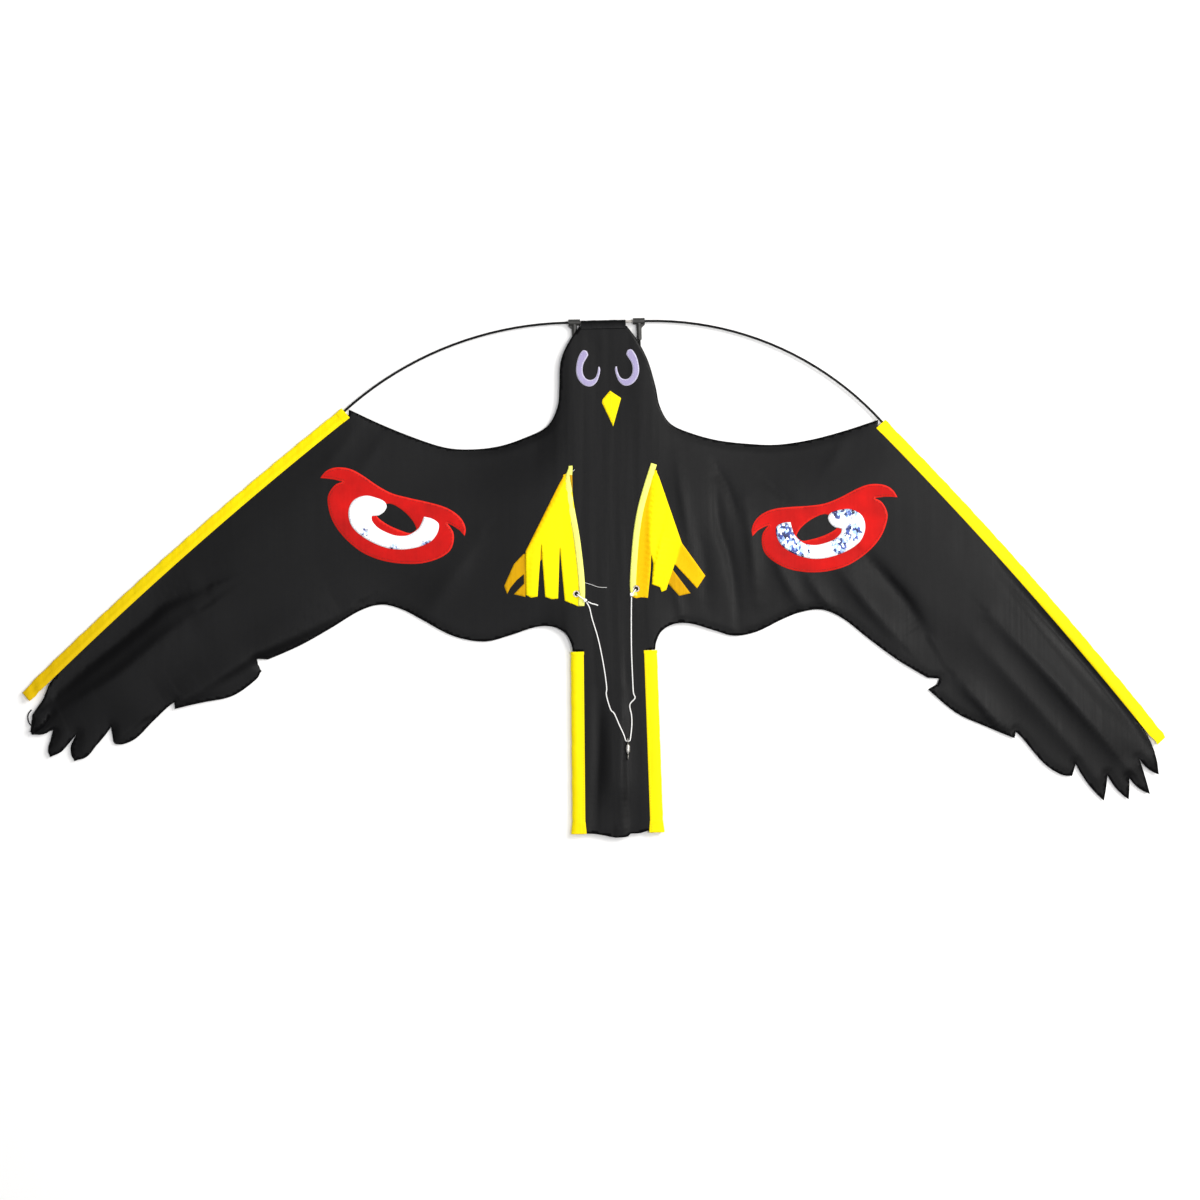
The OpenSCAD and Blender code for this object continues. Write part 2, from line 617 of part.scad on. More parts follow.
module swivel_line_eye() {
    color("#4a4a4c") set_down() along_swivel(barrel_top_y - barrel_len - eye_stem) mirror([0, 0, 1])
        swivel_eye_shape();
}

sail();
head_hem();
head_tube();
left_tee();
right_tee();
left_wing_rod();
right_wing_rod();
left_spine_rod();
right_spine_rod();
left_wing_sleeve();
right_wing_sleeve();
left_tail_sleeve();
right_tail_sleeve();
left_eye_patch();
right_eye_patch();
left_eye_glint();
right_eye_glint();
left_head_eye();
right_head_eye();
beak();
left_keel_band();
right_keel_band();
left_binding();
right_binding();
left_keel_flap();
right_keel_flap();
left_keel_under();
right_keel_under();
left_eyelet();
right_eyelet();
left_tie();
right_tie();
left_knot();
right_knot();
left_tag();
bridle_cord();
swivel_top_eye();
swivel_barrel();
swivel_line_eye();
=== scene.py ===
# %% [markdown]
# # Hawk kite of a bird scarer
# The kite is a hawk cut from one dark cloth, about 1.2 m from wing tip to wing tip. It lies face up on a
# pale floor and is seen from straight above. Its rods, fittings, eyelets and swivel come from the packed
# frame and only get a finish here. Everything that is cloth or cord is made again below, because cloth
# folds, sags and frays in ways that a flat plate of even thickness doesn't show.

# %% Frame
import json
import math

import bpy
import numpy as np
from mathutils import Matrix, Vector, geometry

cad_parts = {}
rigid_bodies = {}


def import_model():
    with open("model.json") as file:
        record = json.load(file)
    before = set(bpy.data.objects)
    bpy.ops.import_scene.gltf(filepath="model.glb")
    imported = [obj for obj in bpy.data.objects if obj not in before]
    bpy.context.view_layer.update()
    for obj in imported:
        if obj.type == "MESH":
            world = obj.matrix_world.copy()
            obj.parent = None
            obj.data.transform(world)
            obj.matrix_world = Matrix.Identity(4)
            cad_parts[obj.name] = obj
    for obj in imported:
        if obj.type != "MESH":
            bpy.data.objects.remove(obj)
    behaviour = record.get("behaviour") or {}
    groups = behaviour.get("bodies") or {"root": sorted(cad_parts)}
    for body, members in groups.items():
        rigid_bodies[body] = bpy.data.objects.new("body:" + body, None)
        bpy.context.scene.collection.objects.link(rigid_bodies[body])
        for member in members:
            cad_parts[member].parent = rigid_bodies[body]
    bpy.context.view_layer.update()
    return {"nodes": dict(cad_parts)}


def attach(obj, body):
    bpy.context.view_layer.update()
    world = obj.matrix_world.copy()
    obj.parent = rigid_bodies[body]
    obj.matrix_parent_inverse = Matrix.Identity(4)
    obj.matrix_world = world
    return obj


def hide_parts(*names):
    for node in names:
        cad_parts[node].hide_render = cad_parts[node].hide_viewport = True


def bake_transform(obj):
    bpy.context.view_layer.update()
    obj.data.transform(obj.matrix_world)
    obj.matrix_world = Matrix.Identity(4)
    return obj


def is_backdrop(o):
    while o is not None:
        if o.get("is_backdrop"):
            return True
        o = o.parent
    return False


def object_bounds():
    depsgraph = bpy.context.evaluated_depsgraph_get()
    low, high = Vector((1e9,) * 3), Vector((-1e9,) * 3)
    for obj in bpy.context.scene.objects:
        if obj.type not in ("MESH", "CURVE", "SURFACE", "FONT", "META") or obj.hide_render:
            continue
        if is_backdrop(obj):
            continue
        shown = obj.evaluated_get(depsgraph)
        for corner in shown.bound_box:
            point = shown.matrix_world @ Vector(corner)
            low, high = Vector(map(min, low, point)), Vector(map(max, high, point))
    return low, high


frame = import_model()
nodes = frame["nodes"]
scene = bpy.context.scene
MM = 0.001

# %% [markdown]
# ## Camera
# The picture is taken from straight above, with the kite turned a little in the frame. A long lens far
# away keeps the flat kite free of perspective, and one number, the floor's length under a pixel, ties the
# picture to the model. `spot` uses the same numbers to say which place lies under a picture point, so a
# fold can be put where it is seen.

# %% Camera
PICTURE = 1200
PIXEL = 1.05263 * MM
LOOK_AT = np.array([0.0076, -0.0240])
ROLL = math.radians(-1.2818)
LENS = 100.0
SENSOR = 36.0
CLOTH_LEVEL = 6.8 * MM
TURN = np.array([[math.cos(ROLL), math.sin(ROLL)], [-math.sin(ROLL), math.cos(ROLL)]])


def spot(points):
    """Places in the frame under picture points: steps from the picture's middle, turned by the roll."""
    steps = (np.asarray(points, float) - PICTURE / 2) * [1, -1]
    return LOOK_AT + steps * PIXEL @ TURN


camera = bpy.data.objects.new("camera", bpy.data.cameras.new("camera"))
scene.collection.objects.link(camera)
camera.data.lens = LENS
camera.data.sensor_width = SENSOR
camera.location = (*LOOK_AT, CLOTH_LEVEL + PICTURE * PIXEL * LENS / SENSOR)
camera.rotation_euler = (0, 0, ROLL)
scene.camera = camera
print("camera: %.3f m above the cloth" % (camera.location.z - CLOTH_LEVEL))

# %% [markdown]
# ## Curves and tubes
# A cord is a profile carried along a path. `through` draws the smooth curve that passes through a few
# points, `ring_tubes` carries a ring along it, and `twisted` lays three such tubes round each other. They
# work on whole arrays, so a cord of a thousand rings costs no more code than one of ten.

# %% Curves and tubes
ORIGIN = np.array([-21.0, -1.0, 0.0])


def row(points):
    """Millimetres on the kite's own axes to metres in the frame."""
    p = np.asarray(points, float)
    return (p - ORIGIN[: p.shape[-1]]) * MM


def even(points, count):
    """The same line with count points at equal steps along it."""
    along = np.r_[0, np.cumsum(np.linalg.norm(np.diff(points, axis=0), axis=1))]
    at = np.linspace(0, along[-1], count)
    return np.stack([np.interp(at, along, c) for c in points.T], 1)


def length(points):
    """Sum of the steps between the points."""
    return float(np.linalg.norm(np.diff(points, axis=0), axis=1).sum())


def through(points, step):
    """Catmull-Rom curve: each stretch is the cubic that leaves along its neighbours' chord."""
    p = np.asarray(points, float)
    q = np.vstack([p[:1], p, p[-1:]])
    t = np.linspace(0, len(p) - 1 - 1e-9, 24 * len(p))
    i = t.astype(int)
    f = (t - i)[:, None]
    a, b, c, d = q[i], q[i + 1], q[i + 2], q[i + 3]
    line = b + f * (c - a) / 2 + f**2 * (2 * a - 5 * b + 4 * c - d) / 2 + f**3 * (3 * b - a - 3 * c + d) / 2
    return even(line, max(2, round(length(line) / step) + 1))


def unit(vectors):
    """Each vector divided by its own length."""
    return vectors / np.maximum(np.linalg.norm(vectors, axis=-1, keepdims=True), 1e-12)


def left_of(ahead):
    """Flat directions turned a quarter to the left."""
    return np.stack([-ahead[..., 1], ahead[..., 0]], -1)


def frames(path, level=(0, 0, 1)):
    """Side and up vectors along a path: the side is square to the path and to the level direction."""
    ahead = np.gradient(path, axis=0)
    side = unit(np.cross(ahead, np.asarray(level, float)))
    return side, unit(np.cross(side, ahead))


def grid_faces(rings, around, joined):
    """Quads between neighbouring rings of a grid, with the last column joined to the first if asked for."""
    i, j = np.meshgrid(np.arange(rings - 1), np.arange(around - (not joined)), indexing="ij")
    k = (j + 1) % around
    corners = [i * around + j, i * around + k, (i + 1) * around + k, (i + 1) * around + j]
    return np.stack(corners, -1).reshape(-1, 4)


def piece(name, points, faces):
    """A smooth mesh object at the origin, linked to the scene."""
    mesh = bpy.data.meshes.new(name)
    mesh.from_pydata(np.asarray(points).reshape(-1, 3).tolist(), [], faces)
    mesh.shade_smooth()
    made = bpy.data.objects.new(name, mesh)
    scene.collection.objects.link(made)
    return made


def ring_tubes(name, paths, radius, sides, level=(0, 0, 1)):
    """Round tubes, one round each path: centre + radius (cos a side + sin a up), closed at both ends."""
    a = np.linspace(0, 2 * np.pi, sides, endpoint=False)[:, None]
    points, faces, start = [], [], 0
    for path in paths:
        side, up = frames(path, level)
        circle = np.cos(a) * side[:, None] + np.sin(a) * up[:, None]
        points.append((path[:, None] + radius * circle).reshape(-1, 3))
        faces += (grid_faces(len(path), sides, True) + start).tolist()
        faces += [list(range(start + sides - 1, start - 1, -1))]
        start += len(path) * sides
        faces += [list(range(start - sides, start))]
    return piece(name, np.vstack(points), faces)


def twisted(name, path, diameter, sides=6):
    """A cord of three strands: each strand's centre circles the path once in a lay of four diameters."""
    lay = 4 * diameter
    path = even(path, round(length(path) / (lay / 12)) + 1)
    turn = np.linspace(0, length(path) / lay, len(path)) * 2 * np.pi
    side, up = frames(path)
    orbit = 0.23 * diameter
    strands = [
        path + orbit * (np.cos(turn + k)[:, None] * side + np.sin(turn + k)[:, None] * up)
        for k in np.arange(3) * 2 * np.pi / 3
    ]
    return ring_tubes(name, strands, 0.5 * diameter - orbit, sides)


# %% [markdown]
# ## Bridle
# A white cord runs from the left keel's eyelet through the swivel's top eye and back to the right one. The
# photograph shows all of it, so its length is the length of its route. A plain round tube would do at this
# distance, but a real cord is laid from strands that catch the light in turn, so three are wound together.

# %% Bridle
CORD_D = 1.3 * MM
BRIDLE_ROUTE = [
    (-27.6, -27.3, 10.6), (-24.6, -33, 9.7), (-22, -45, 8), (-16, -67, 8), (-11, -95, 8), (-8.5, -117, 8),
    (-9, -125, 8), (-5, -140, 8), (-1, -145, 8.3), (4, -157, 9.9), (8, -166, 10.7), (9.8, -171.6, 10.9),
    (10.59, -173.51, 10.9), (12.5, -174.3, 10.9), (14.41, -173.51, 10.9), (15.2, -171.6, 10.9),
    (17, -158, 9.9), (17, -147, 8.3), (15.5, -136, 8), (21, -129, 8), (19.5, -123, 8), (19, -108, 8),
    (18.5, -78, 8), (19, -47, 8), (19.5, -30, 9.9), (19.8, -23, 10.7),
]


def belongs(made, body, slot, *replaced):
    """Puts a piece on the body that it rides on and hides the nodes that it takes the place of. The slot is
    not used.
    """
    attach(made, body)
    if replaced:
        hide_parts(*replaced)
    return made


bridle_path = through(row(BRIDLE_ROUTE), 0.4 * MM)
bridle = belongs(twisted("bridle_cord_strands", bridle_path, CORD_D), "bridle", "cord", "bridle_cord")
print("bridle: %.0f mm of cord" % (length(bridle_path) / MM))

# %% [markdown]
# ## Knots
# At each eyelet the cord comes up through the hole, crosses the binding and ends in a small knot. The left
# one leaves a cut end a finger's breadth long. A knot is a cord that winds round itself, so it is drawn as
# one: a curve that goes round a ring twice while it circles the ring's own core three times.

# %% Knots
KNOT_Z = 10.9
KNOT_RING = 1.0
KNOT_CORE = 0.55
KNOT_TIGHT = 0.9
TIE_LOW = 8.45
TIES = {"left": ((-38, -18), (-29, -25)), "right": ((25, -14), (20, -20))}
TAG_ROUTE = [(-26.2, -26.4, 10.6), (-22, -28.6, 9.4), (-19, -29.3, 8), (-15.6, -30.7, 8)]


def knot_path(centre, step=0.3):
    """A trefoil knot: ring + core cos 3t out from its middle at an angle of 2t, and core sin 3t up."""
    t = np.linspace(0, 2 * np.pi, 120)
    out = KNOT_RING + KNOT_CORE * np.cos(3 * t)
    ring = np.stack([out * np.cos(2 * t), out * np.sin(2 * t), KNOT_CORE * np.sin(3 * t)], 1)
    return even(ring + centre, round(length(ring) / step))


def tie_path(eyelet, knot):
    """Up through the eyelet's hole, over its rim and down the binding to the knot, and the tie's left."""
    d = unit(knot - eyelet)
    hole, lower, upper = (eyelet + gap * d for gap in (1.1, 1.4, 2.6))
    points = [(*hole, TIE_LOW), (*lower, TIE_LOW + 1.6), (*upper, KNOT_Z - 0.4), (*knot, KNOT_Z)]
    return through(row(points), 0.3 * MM), (*left_of(d), 0)


knots = []
for hand, (eyelet, knot) in TIES.items():
    path, level = tie_path(np.array(eyelet, float), np.array(knot, float))
    tie = ring_tubes(hand + "_tie_cord", [path], CORD_D / 2, 10, level)
    turns = row(knot_path((*knot, KNOT_Z)))
    tied = ring_tubes(hand + "_knot_turns", [turns], CORD_D / 2 * KNOT_TIGHT, 8)
    knots += [belongs(tie, "kite", "cord", hand + "_tie"), belongs(tied, "kite", "cord", hand + "_knot")]
tag = twisted("left_tag_strands", through(row(TAG_ROUTE), 0.3 * MM), CORD_D)
knots.append(belongs(tag, "kite", "cord", "left_tag"))
print("knots:", [made.name for made in knots])

# %% [markdown]
# ## Where the cloth is held
# The sail is carried by the rods: the leading edges in their sleeves, the two spine rods under the body and
# the tube in the head hem. Everywhere else its edge is free and falls towards the floor.

# %% Where the cloth is held
SIDES = {"left": -1, "right": 1}
LEADING = {
    # Mouth and tip of each wing's sleeve
    "right": row([(286.3, 153.79), (574.47, -186.61)]),
    "left": row([(-276.7, 177.81), (-617.1, -110.36)]),
}
SLEEVE_LEN = 446 * MM
LEAD_BOW = 6 * MM
SPINE_TOP = (34, 267.8)
SPINE_END = (41, -271)
SPINE = [row([(side * x, y) for x, y in (SPINE_TOP, SPINE_END)]) for side in SIDES.values()]
HEM_LINE = row([(-27.4, 264.9), (20.2, 264.9)])


def leading(hand, along, out):
    """Places on a leading edge: along the chord from its mouth, and out from it over the rod's bow."""
    mouth, tip = LEADING[hand]
    d = unit(tip - mouth)
    bow = LEAD_BOW * (1 - (2 * along / SLEEVE_LEN - 1) ** 2)
    return mouth + along[:, None] * d + SIDES[hand] * (out + bow)[:, None] * left_of(d)


def segments(lines):
    """Start and end of every straight stretch of some open lines, as one array."""
    return np.vstack([np.hstack([line[:-1], line[1:]]) for line in lines])


lead_lines = [leading(hand, np.linspace(0, SLEEVE_LEN, 14), np.zeros(14)) for hand in LEADING]
held = segments([*lead_lines, *SPINE, HEM_LINE])
print("held along %.2f m" % np.hypot(*(held[:, 2:] - held[:, :2]).T).sum())

# %% [markdown]
# ## Cut outlines
# The cut is read from the frame, so that the dressed cloth and the solid can't drift apart. The outline of a
# flat solid is made of those edges of its upper face that belong to one triangle only, walked round in turn.
# How far a place is from such lines, and whether it is inside them, is asked again and again below.

# %% Cut outlines
EDGE_STEP = 6 * MM
HELD_NEAR = 9 * MM


def cut_outline(node):
    """Closed outlines of a flat node's upper face, longest first: the edges that only one triangle has."""
    mesh = nodes[node].data
    mesh.calc_loop_triangles()
    p = np.empty(len(mesh.vertices) * 3, np.float32)
    t = np.empty(len(mesh.loop_triangles) * 3, np.int32)
    mesh.vertices.foreach_get("co", p)
    mesh.loop_triangles.foreach_get("vertices", t)
    places, at = np.unique(p.reshape(-1, 3).round(7), axis=0, return_inverse=True)
    t = at.ravel()[t].reshape(-1, 3)
    top = t[(places[t][..., 2] > places[:, 2].max() - 1e-5).all(1)]
    sides = np.concatenate([top[:, [0, 1]], top[:, [1, 2]], top[:, [2, 0]]]).tolist()
    there = {tuple(s) for s in sides}
    follows = {a: b for a, b in sides if (b, a) not in there}
    loops = []
    while follows:
        loop = [next(iter(follows))]
        while follows[loop[-1]] != loop[0]:
            loop.append(follows.pop(loop[-1]))
        follows.pop(loop[-1])
        loops.append(places[loop][:, :2].astype(float))
    return sorted(loops, key=lambda loop: -length(loop))


def closed(loop):
    """The loop with its first point again at its end."""
    return np.vstack([loop, loop[:1]])


def edges(loops):
    """Start and end of every stretch of some closed loops."""
    return segments([closed(loop) for loop in loops])


def distance(points, stretches):
    """Least distance from each point to the stretches: the foot is clipped to each stretch's two ends."""
    best = np.full(len(points), np.inf)
    for ax, ay, bx, by in stretches:
        d = np.array([bx - ax, by - ay])
        t = np.clip(((points - (ax, ay)) @ d) / max(d @ d, 1e-18), 0, 1)
        off = points - (ax, ay) - t[:, None] * d
        best = np.minimum(best, np.einsum("ij,ij->i", off, off))
    return np.sqrt(best)


def finer(loop, pitch):
    """The loop with each long stretch split evenly, so that no step is longer than the pitch."""
    ends = np.roll(loop, -1, 0)
    parts = np.maximum(1, np.ceil(np.linalg.norm(ends - loop, axis=1) / pitch)).astype(int)
    at = np.repeat(np.arange(len(loop)), parts)
    share = np.concatenate([np.arange(n) / n for n in parts])[:, None]
    return loop[at] * (1 - share) + ends[at] * share


def reach(points, stretches):
    """Smooth distance from many short stretches: (2/pi sum of length / gap^4)^(-1/3), free of creases."""
    total = 0
    for ax, ay, bx, by in stretches:
        gap = ((points - ((ax + bx) / 2, (ay + by) / 2)) ** 2).sum(1) + (3 * MM) ** 2
        total = total + math.hypot(bx - ax, by - ay) / gap**2
    return (total * 2 / math.pi) ** (-1 / 3)


def inside(points, loops):
    """True where an odd number of the loops' edges pass to the right of a point."""
    x, y = points.T
    odd = np.zeros(len(points), bool)
    for ax, ay, bx, by in edges(loops):
        crosses = (ay > y) != (by > y)
        odd ^= crosses & (x < ax + (bx - ax) * (y - ay) / (by - ay if by != ay else 1))
    return odd


sail_loop = cut_outline("sail")[0]
sail_edge = edges([finer(sail_loop, EDGE_STEP)])
middles = (sail_edge[:, :2] + sail_edge[:, 2:]) / 2
free_edge = sail_edge[distance(middles, held) > HELD_NEAR]
print("sail: outline of %d points, %d of its stretches free" % (len(sail_loop), len(free_edge)))

# %% [markdown]
# ## How the cloth lies
# Cloth on a floor isn't flat. It sags between the rods, drops at its free edges and keeps soft folds from
# being packed. A cloth simulation would find some folds, but not the ones in the picture, so the height is
# a formula: the level that the rods carry, less a sag and a fall, plus a ridge along each fold seen there.

# %% Height of the cloth
SAG = 2.0 * MM
SAG_FROM = 30 * MM
SAG_WIDTH = 90 * MM
FALL = 2.4 * MM
FALL_WIDTH = 70 * MM
EDGE_FALL = 0.7 * MM
EDGE_WIDTH = 9 * MM
HELD_WIDTH = 45 * MM
FOLD_HELD = 12 * MM
DRIFT = 0.25
DRIFT_X = 43 * MM
DRIFT_Y = 37 * MM
LEAST = 0.9 * MM
FOLDS = [
    # Picture points along the line, height in mm (a valley below 0), width left and right in pixels
    ([(1003, 572), (1046, 622), (1084, 664), (1120, 708), (1150, 748)], -3.0, 18, 9),
    ([(996, 576), (1038, 630), (1072, 673), (1108, 719), (1138, 757)], 0.7, 7, 14),
    ([(990, 615), (1048, 676), (1090, 724), (1128, 768)], 2.6, 16, 8),
    ([(975, 640), (1020, 690), (1060, 735), (1096, 776)], 1.2, 12, 9),
    ([(958, 680), (985, 710), (1008, 736)], 2.2, 18, 6),
    ([(866, 554), (892, 584), (909, 605), (926, 633)], -3.2, 8, 24),
    ([(838, 566), (862, 598), (900, 642)], 2.2, 20, 8),
    ([(806, 575), (820, 596), (834, 612)], 1.4, 12, 6),
    ([(772, 552), (786, 582), (800, 606)], 1.6, 12, 7),
    ([(714, 464), (728, 490), (736, 517)], -1.3, 7, 5),
    ([(714, 478), (719, 525), (729, 558), (736, 600), (738, 626)], -1.6, 9, 6),
    ([(744, 500), (752, 550), (756, 600)], 1.3, 10, 7),
    ([(758, 472), (774, 488), (792, 502)], -0.8, 8, 6),
    ([(676, 455), (683, 505), (690, 545)], 0.9, 8, 5),
    ([(698, 530), (704, 566), (706, 604)], -1.3, 12, 8),
    ([(674, 580), (678, 602), (684, 620)], 0.7, 7, 6),
    ([(850, 428), (838, 452), (822, 476)], 0.45, 12, 8),
    ([(38, 708), (66, 686), (92, 664), (120, 642), (146, 621), (166, 604), (204, 588)], -3.0, 26, 7),
    ([(40, 724), (62, 711), (90, 693), (118, 675), (146, 652), (168, 634), (196, 614)], 2.2, 9, 40),
    ([(156, 713), (214, 679), (258, 651), (300, 631), (350, 606)], 3.2, 45, 11),
    ([(426, 618), (450, 584), (480, 538)], 0.9, 22, 9),
    ([(322, 470), (342, 448), (362, 420)], 0.4, 10, 8),
    ([(352, 486), (372, 456), (388, 430)], 0.3, 10, 8),
    ([(623, 690), (622, 740), (622, 790), (624, 826), (625, 860)], 2.4, 6, 34),
    ([(600, 690), (598, 750), (596, 800), (595, 850)], -1.7, 9, 9),
    ([(612, 844), (620, 844), (630, 844)], 2.2, 24, 8),
]
PLEATS = [(11.0, 0.03, 0.4), (6.3, 0.02, 1.9), (17.5, 0.045, 2.7), (4.1, 0.012, 0.9)]
PLEAT_HALF = 44 * MM
PLEAT_FADE = 28 * MM
MIDLINE = 21 * MM


def ease(t):
    """Smooth step: 3 t^2 - 2 t^3 between 0 and 1."""
    t = np.clip(t, 0, 1)
    return t * t * (3 - 2 * t)


def ridge(points, crest, height, left, right):
    """A fold: height / (1 + (d/w)^2)^2, with d the distance from the crest and w its width on that side."""
    line = through(spot(crest), 6 * MM)
    gap = points[:, None] - line[None]
    near = np.argmin((gap**2).sum(2), axis=1)
    ahead = unit(np.gradient(line, axis=0))[near]
    off = gap[np.arange(len(points)), near]
    side = ahead[:, 0] * off[:, 1] - ahead[:, 1] * off[:, 0]
    width = np.where(side > 0, left, right) * PIXEL
    fade = np.sin(np.pi * np.clip((near + 0.5) / len(line), 0.06, 0.94)) ** 0.7
    return height * MM * fade / (1 + (off**2).sum(1) / width**2) ** 2


def pleats(points):
    """Fine lengthwise ripples of the body and tail: a sum of sines across the kite that drift along it."""
    x, y = points.T / MM
    wave = sum(h * np.sin(2 * np.pi * (x + 5 * np.sin(y / 70 + p)) / w + p) for w, h, p in PLEATS)
    return wave * MM


def rise(points):
    """Height of the cloth's middle: level - sag between the rods - fall at free edges + folds + pleats."""
    carried = distance(points, held)
    edge = distance(points, free_edge)
    away = ease(carried / HELD_WIDTH)
    drift = 1 + DRIFT * np.sin(points[:, 0] / DRIFT_X) * np.sin(points[:, 1] / DRIFT_Y + 1)
    z = CLOTH_LEVEL - SAG * ease((carried - SAG_FROM) / SAG_WIDTH)
    z -= FALL * drift * (1 - ease(reach(points, free_edge) / FALL_WIDTH)) * away
    z -= EDGE_FALL * drift * (1 - ease(edge / EDGE_WIDTH)) * away
    for fold in FOLDS:
        z += ridge(points, *fold) * ease(carried / FOLD_HELD)
    body = 1 - ease((np.abs(points[:, 0] - MIDLINE) - PLEAT_HALF) / PLEAT_FADE)
    return np.maximum(z + pleats(points) * body, LEAST)


print("cloth: %d folds and %d rows of pleats" % (len(FOLDS), len(PLEATS)))

# %% [markdown]
# ## Cloth cut to an outline
# A grid of two parameters can't follow feathers and slits, so a cloth is filled another way: the outline's
# own points, an even three-way grid inside it, and a Delaunay net between them that keeps the outline as
# its edge. The net gets its height afterwards, and Solidify gives it the thickness of the cloth.

# %% Cloth cut to an outline
CLOTH_T = 0.36 * MM


def cut_cloth(groups, pitch):
    """Flat net of triangles inside any of the groups of loops, as points and faces."""
    loops = [finer(loop, pitch) for group in groups for loop in group]
    edge = np.vstack(loops)
    low, high = edge.min(0), edge.max(0)
    y = np.arange(low[1], high[1], pitch * math.sqrt(3) / 2)
    x = np.arange(low[0] - pitch, high[0], pitch)
    shift = (np.arange(len(y)) % 2)[:, None] * pitch / 2
    grid = np.stack([x[None] + shift, np.repeat(y[:, None], len(x), 1)], -1).reshape(-1, 2)
    grid = grid[np.any([inside(grid, group) for group in groups], axis=0)]
    grid = grid[distance(grid, edges(loops)) > 0.55 * pitch]
    starts = np.cumsum([0] + [len(loop) for loop in loops])
    links = [(a + i, a + (i + 1) % (b - a)) for a, b in zip(starts, starts[1:]) for i in range(b - a)]
    flat = [Vector(p) for p in np.vstack([edge, grid]).tolist()]
    points, _, faces, *_ = geometry.delaunay_2d_cdt(flat, links, [], 1, 1e-7)
    points = np.array(points)
    faces = np.array(faces)
    faces = faces[np.any([inside(points[faces].mean(1), group) for group in groups], axis=0)]
    used, faces = np.unique(faces, return_inverse=True)
    return points[used], faces.reshape(-1, 3)


def laid(name, flat, z, faces, thickness=CLOTH_T):
    """A cloth from its flat net and the height of each point, with its thickness half to each side."""
    made = piece(name, np.column_stack([flat, z]), faces.tolist())
    solid = made.modifiers.new("thickness", "SOLIDIFY")
    solid.thickness = thickness
    solid.offset = 0
    return made


def net_area(points, faces):
    """Half the cross product of each triangle's sides, summed."""
    a, b, c = (points[faces[:, i]] for i in range(3))
    return float(np.abs((b - a)[:, 0] * (c - a)[:, 1] - (b - a)[:, 1] * (c - a)[:, 0]).sum() / 2)


# %% [markdown]
# ## Sail
# Head, body, wings and tail are one cloth. At the left wing's tip the second feather lies folded under, as
# the picture shows. A fold is a bend of the flat cloth about a line: what is past the line goes half round
# a small roll and then back beneath the rest. Small shifts then round the left feathers and let the tail's
# edge hang, because loose cloth doesn't lie quite as it was cut.

# %% Sail
SAIL_PITCH = 3.0 * MM
FLOOR_GAP = 0.3 * MM
FOLD_LINE = spot([(29.4, 732.8), (55.9, 734.0)])
FOLD_ROLL = 0.55 * MM
FIRST_SLIT = (48.5, 713.8)
FIRST_SLOPE = 0.756
SECOND_SLIT = (55.6, 734.2)
SECOND_SLOPE = 0.6
FIRST_MOVE = np.array([6.5, -4.5]) * PIXEL
FIRST_LIFT = 0.7 * MM
TIP_MOVE = np.array([-3.8, -1.0]) * PIXEL
TAIL_EDGE = ([586, 595, 607, 616, 628, 629.5, 640, 650], [0, 2.0, 2.0, 3.0, 1.8, -1.0, -0.6, -2.7])


def picture(points):
    """Picture points over places in the frame: the inverse of spot."""
    return (points - LOOK_AT) @ TURN.T / PIXEL * [1, -1] + PICTURE / 2


def left_tip(points, z):
    """Lays the left tip: feather 1 over the slit, feather 2 bent under, the rest pulled out.

    Past the fold line a point goes round an arc up to pi r, and then straight back underneath."""
    u, v = picture(points).T
    first = (u < FIRST_SLIT[0] - FIRST_SLOPE * (v - FIRST_SLIT[1])) & (v > FIRST_SLIT[1])
    over = np.where(first, ease((v - FIRST_SLIT[1]) / 12), 0)
    n = -left_of(unit(FOLD_LINE[1] - FOLD_LINE[0]))
    past = (points - FOLD_LINE[0]) @ n
    second = (past > 0) & ~first & (u < SECOND_SLIT[0] - SECOND_SLOPE * (v - SECOND_SLIT[1]))
    angle = np.clip(past / FOLD_ROLL, 0, np.pi)
    back = FOLD_ROLL * np.sin(angle) - np.maximum(past - np.pi * FOLD_ROLL, 0) - past
    drop = FOLD_ROLL * (1 - np.cos(angle))
    rest = ease((105 - u) / 45) * ease((v - 712) / 28) * ~first
    moved = points + over[:, None] * FIRST_MOVE + np.where(second, back, 0)[:, None] * n
    moved = moved + rest[:, None] * TIP_MOVE
    return moved, np.maximum(z + FIRST_LIFT * over - np.where(second, drop, 0), FLOOR_GAP)


def bell(t):
    """exp(-t^2)."""
    return np.exp(-(t**2))


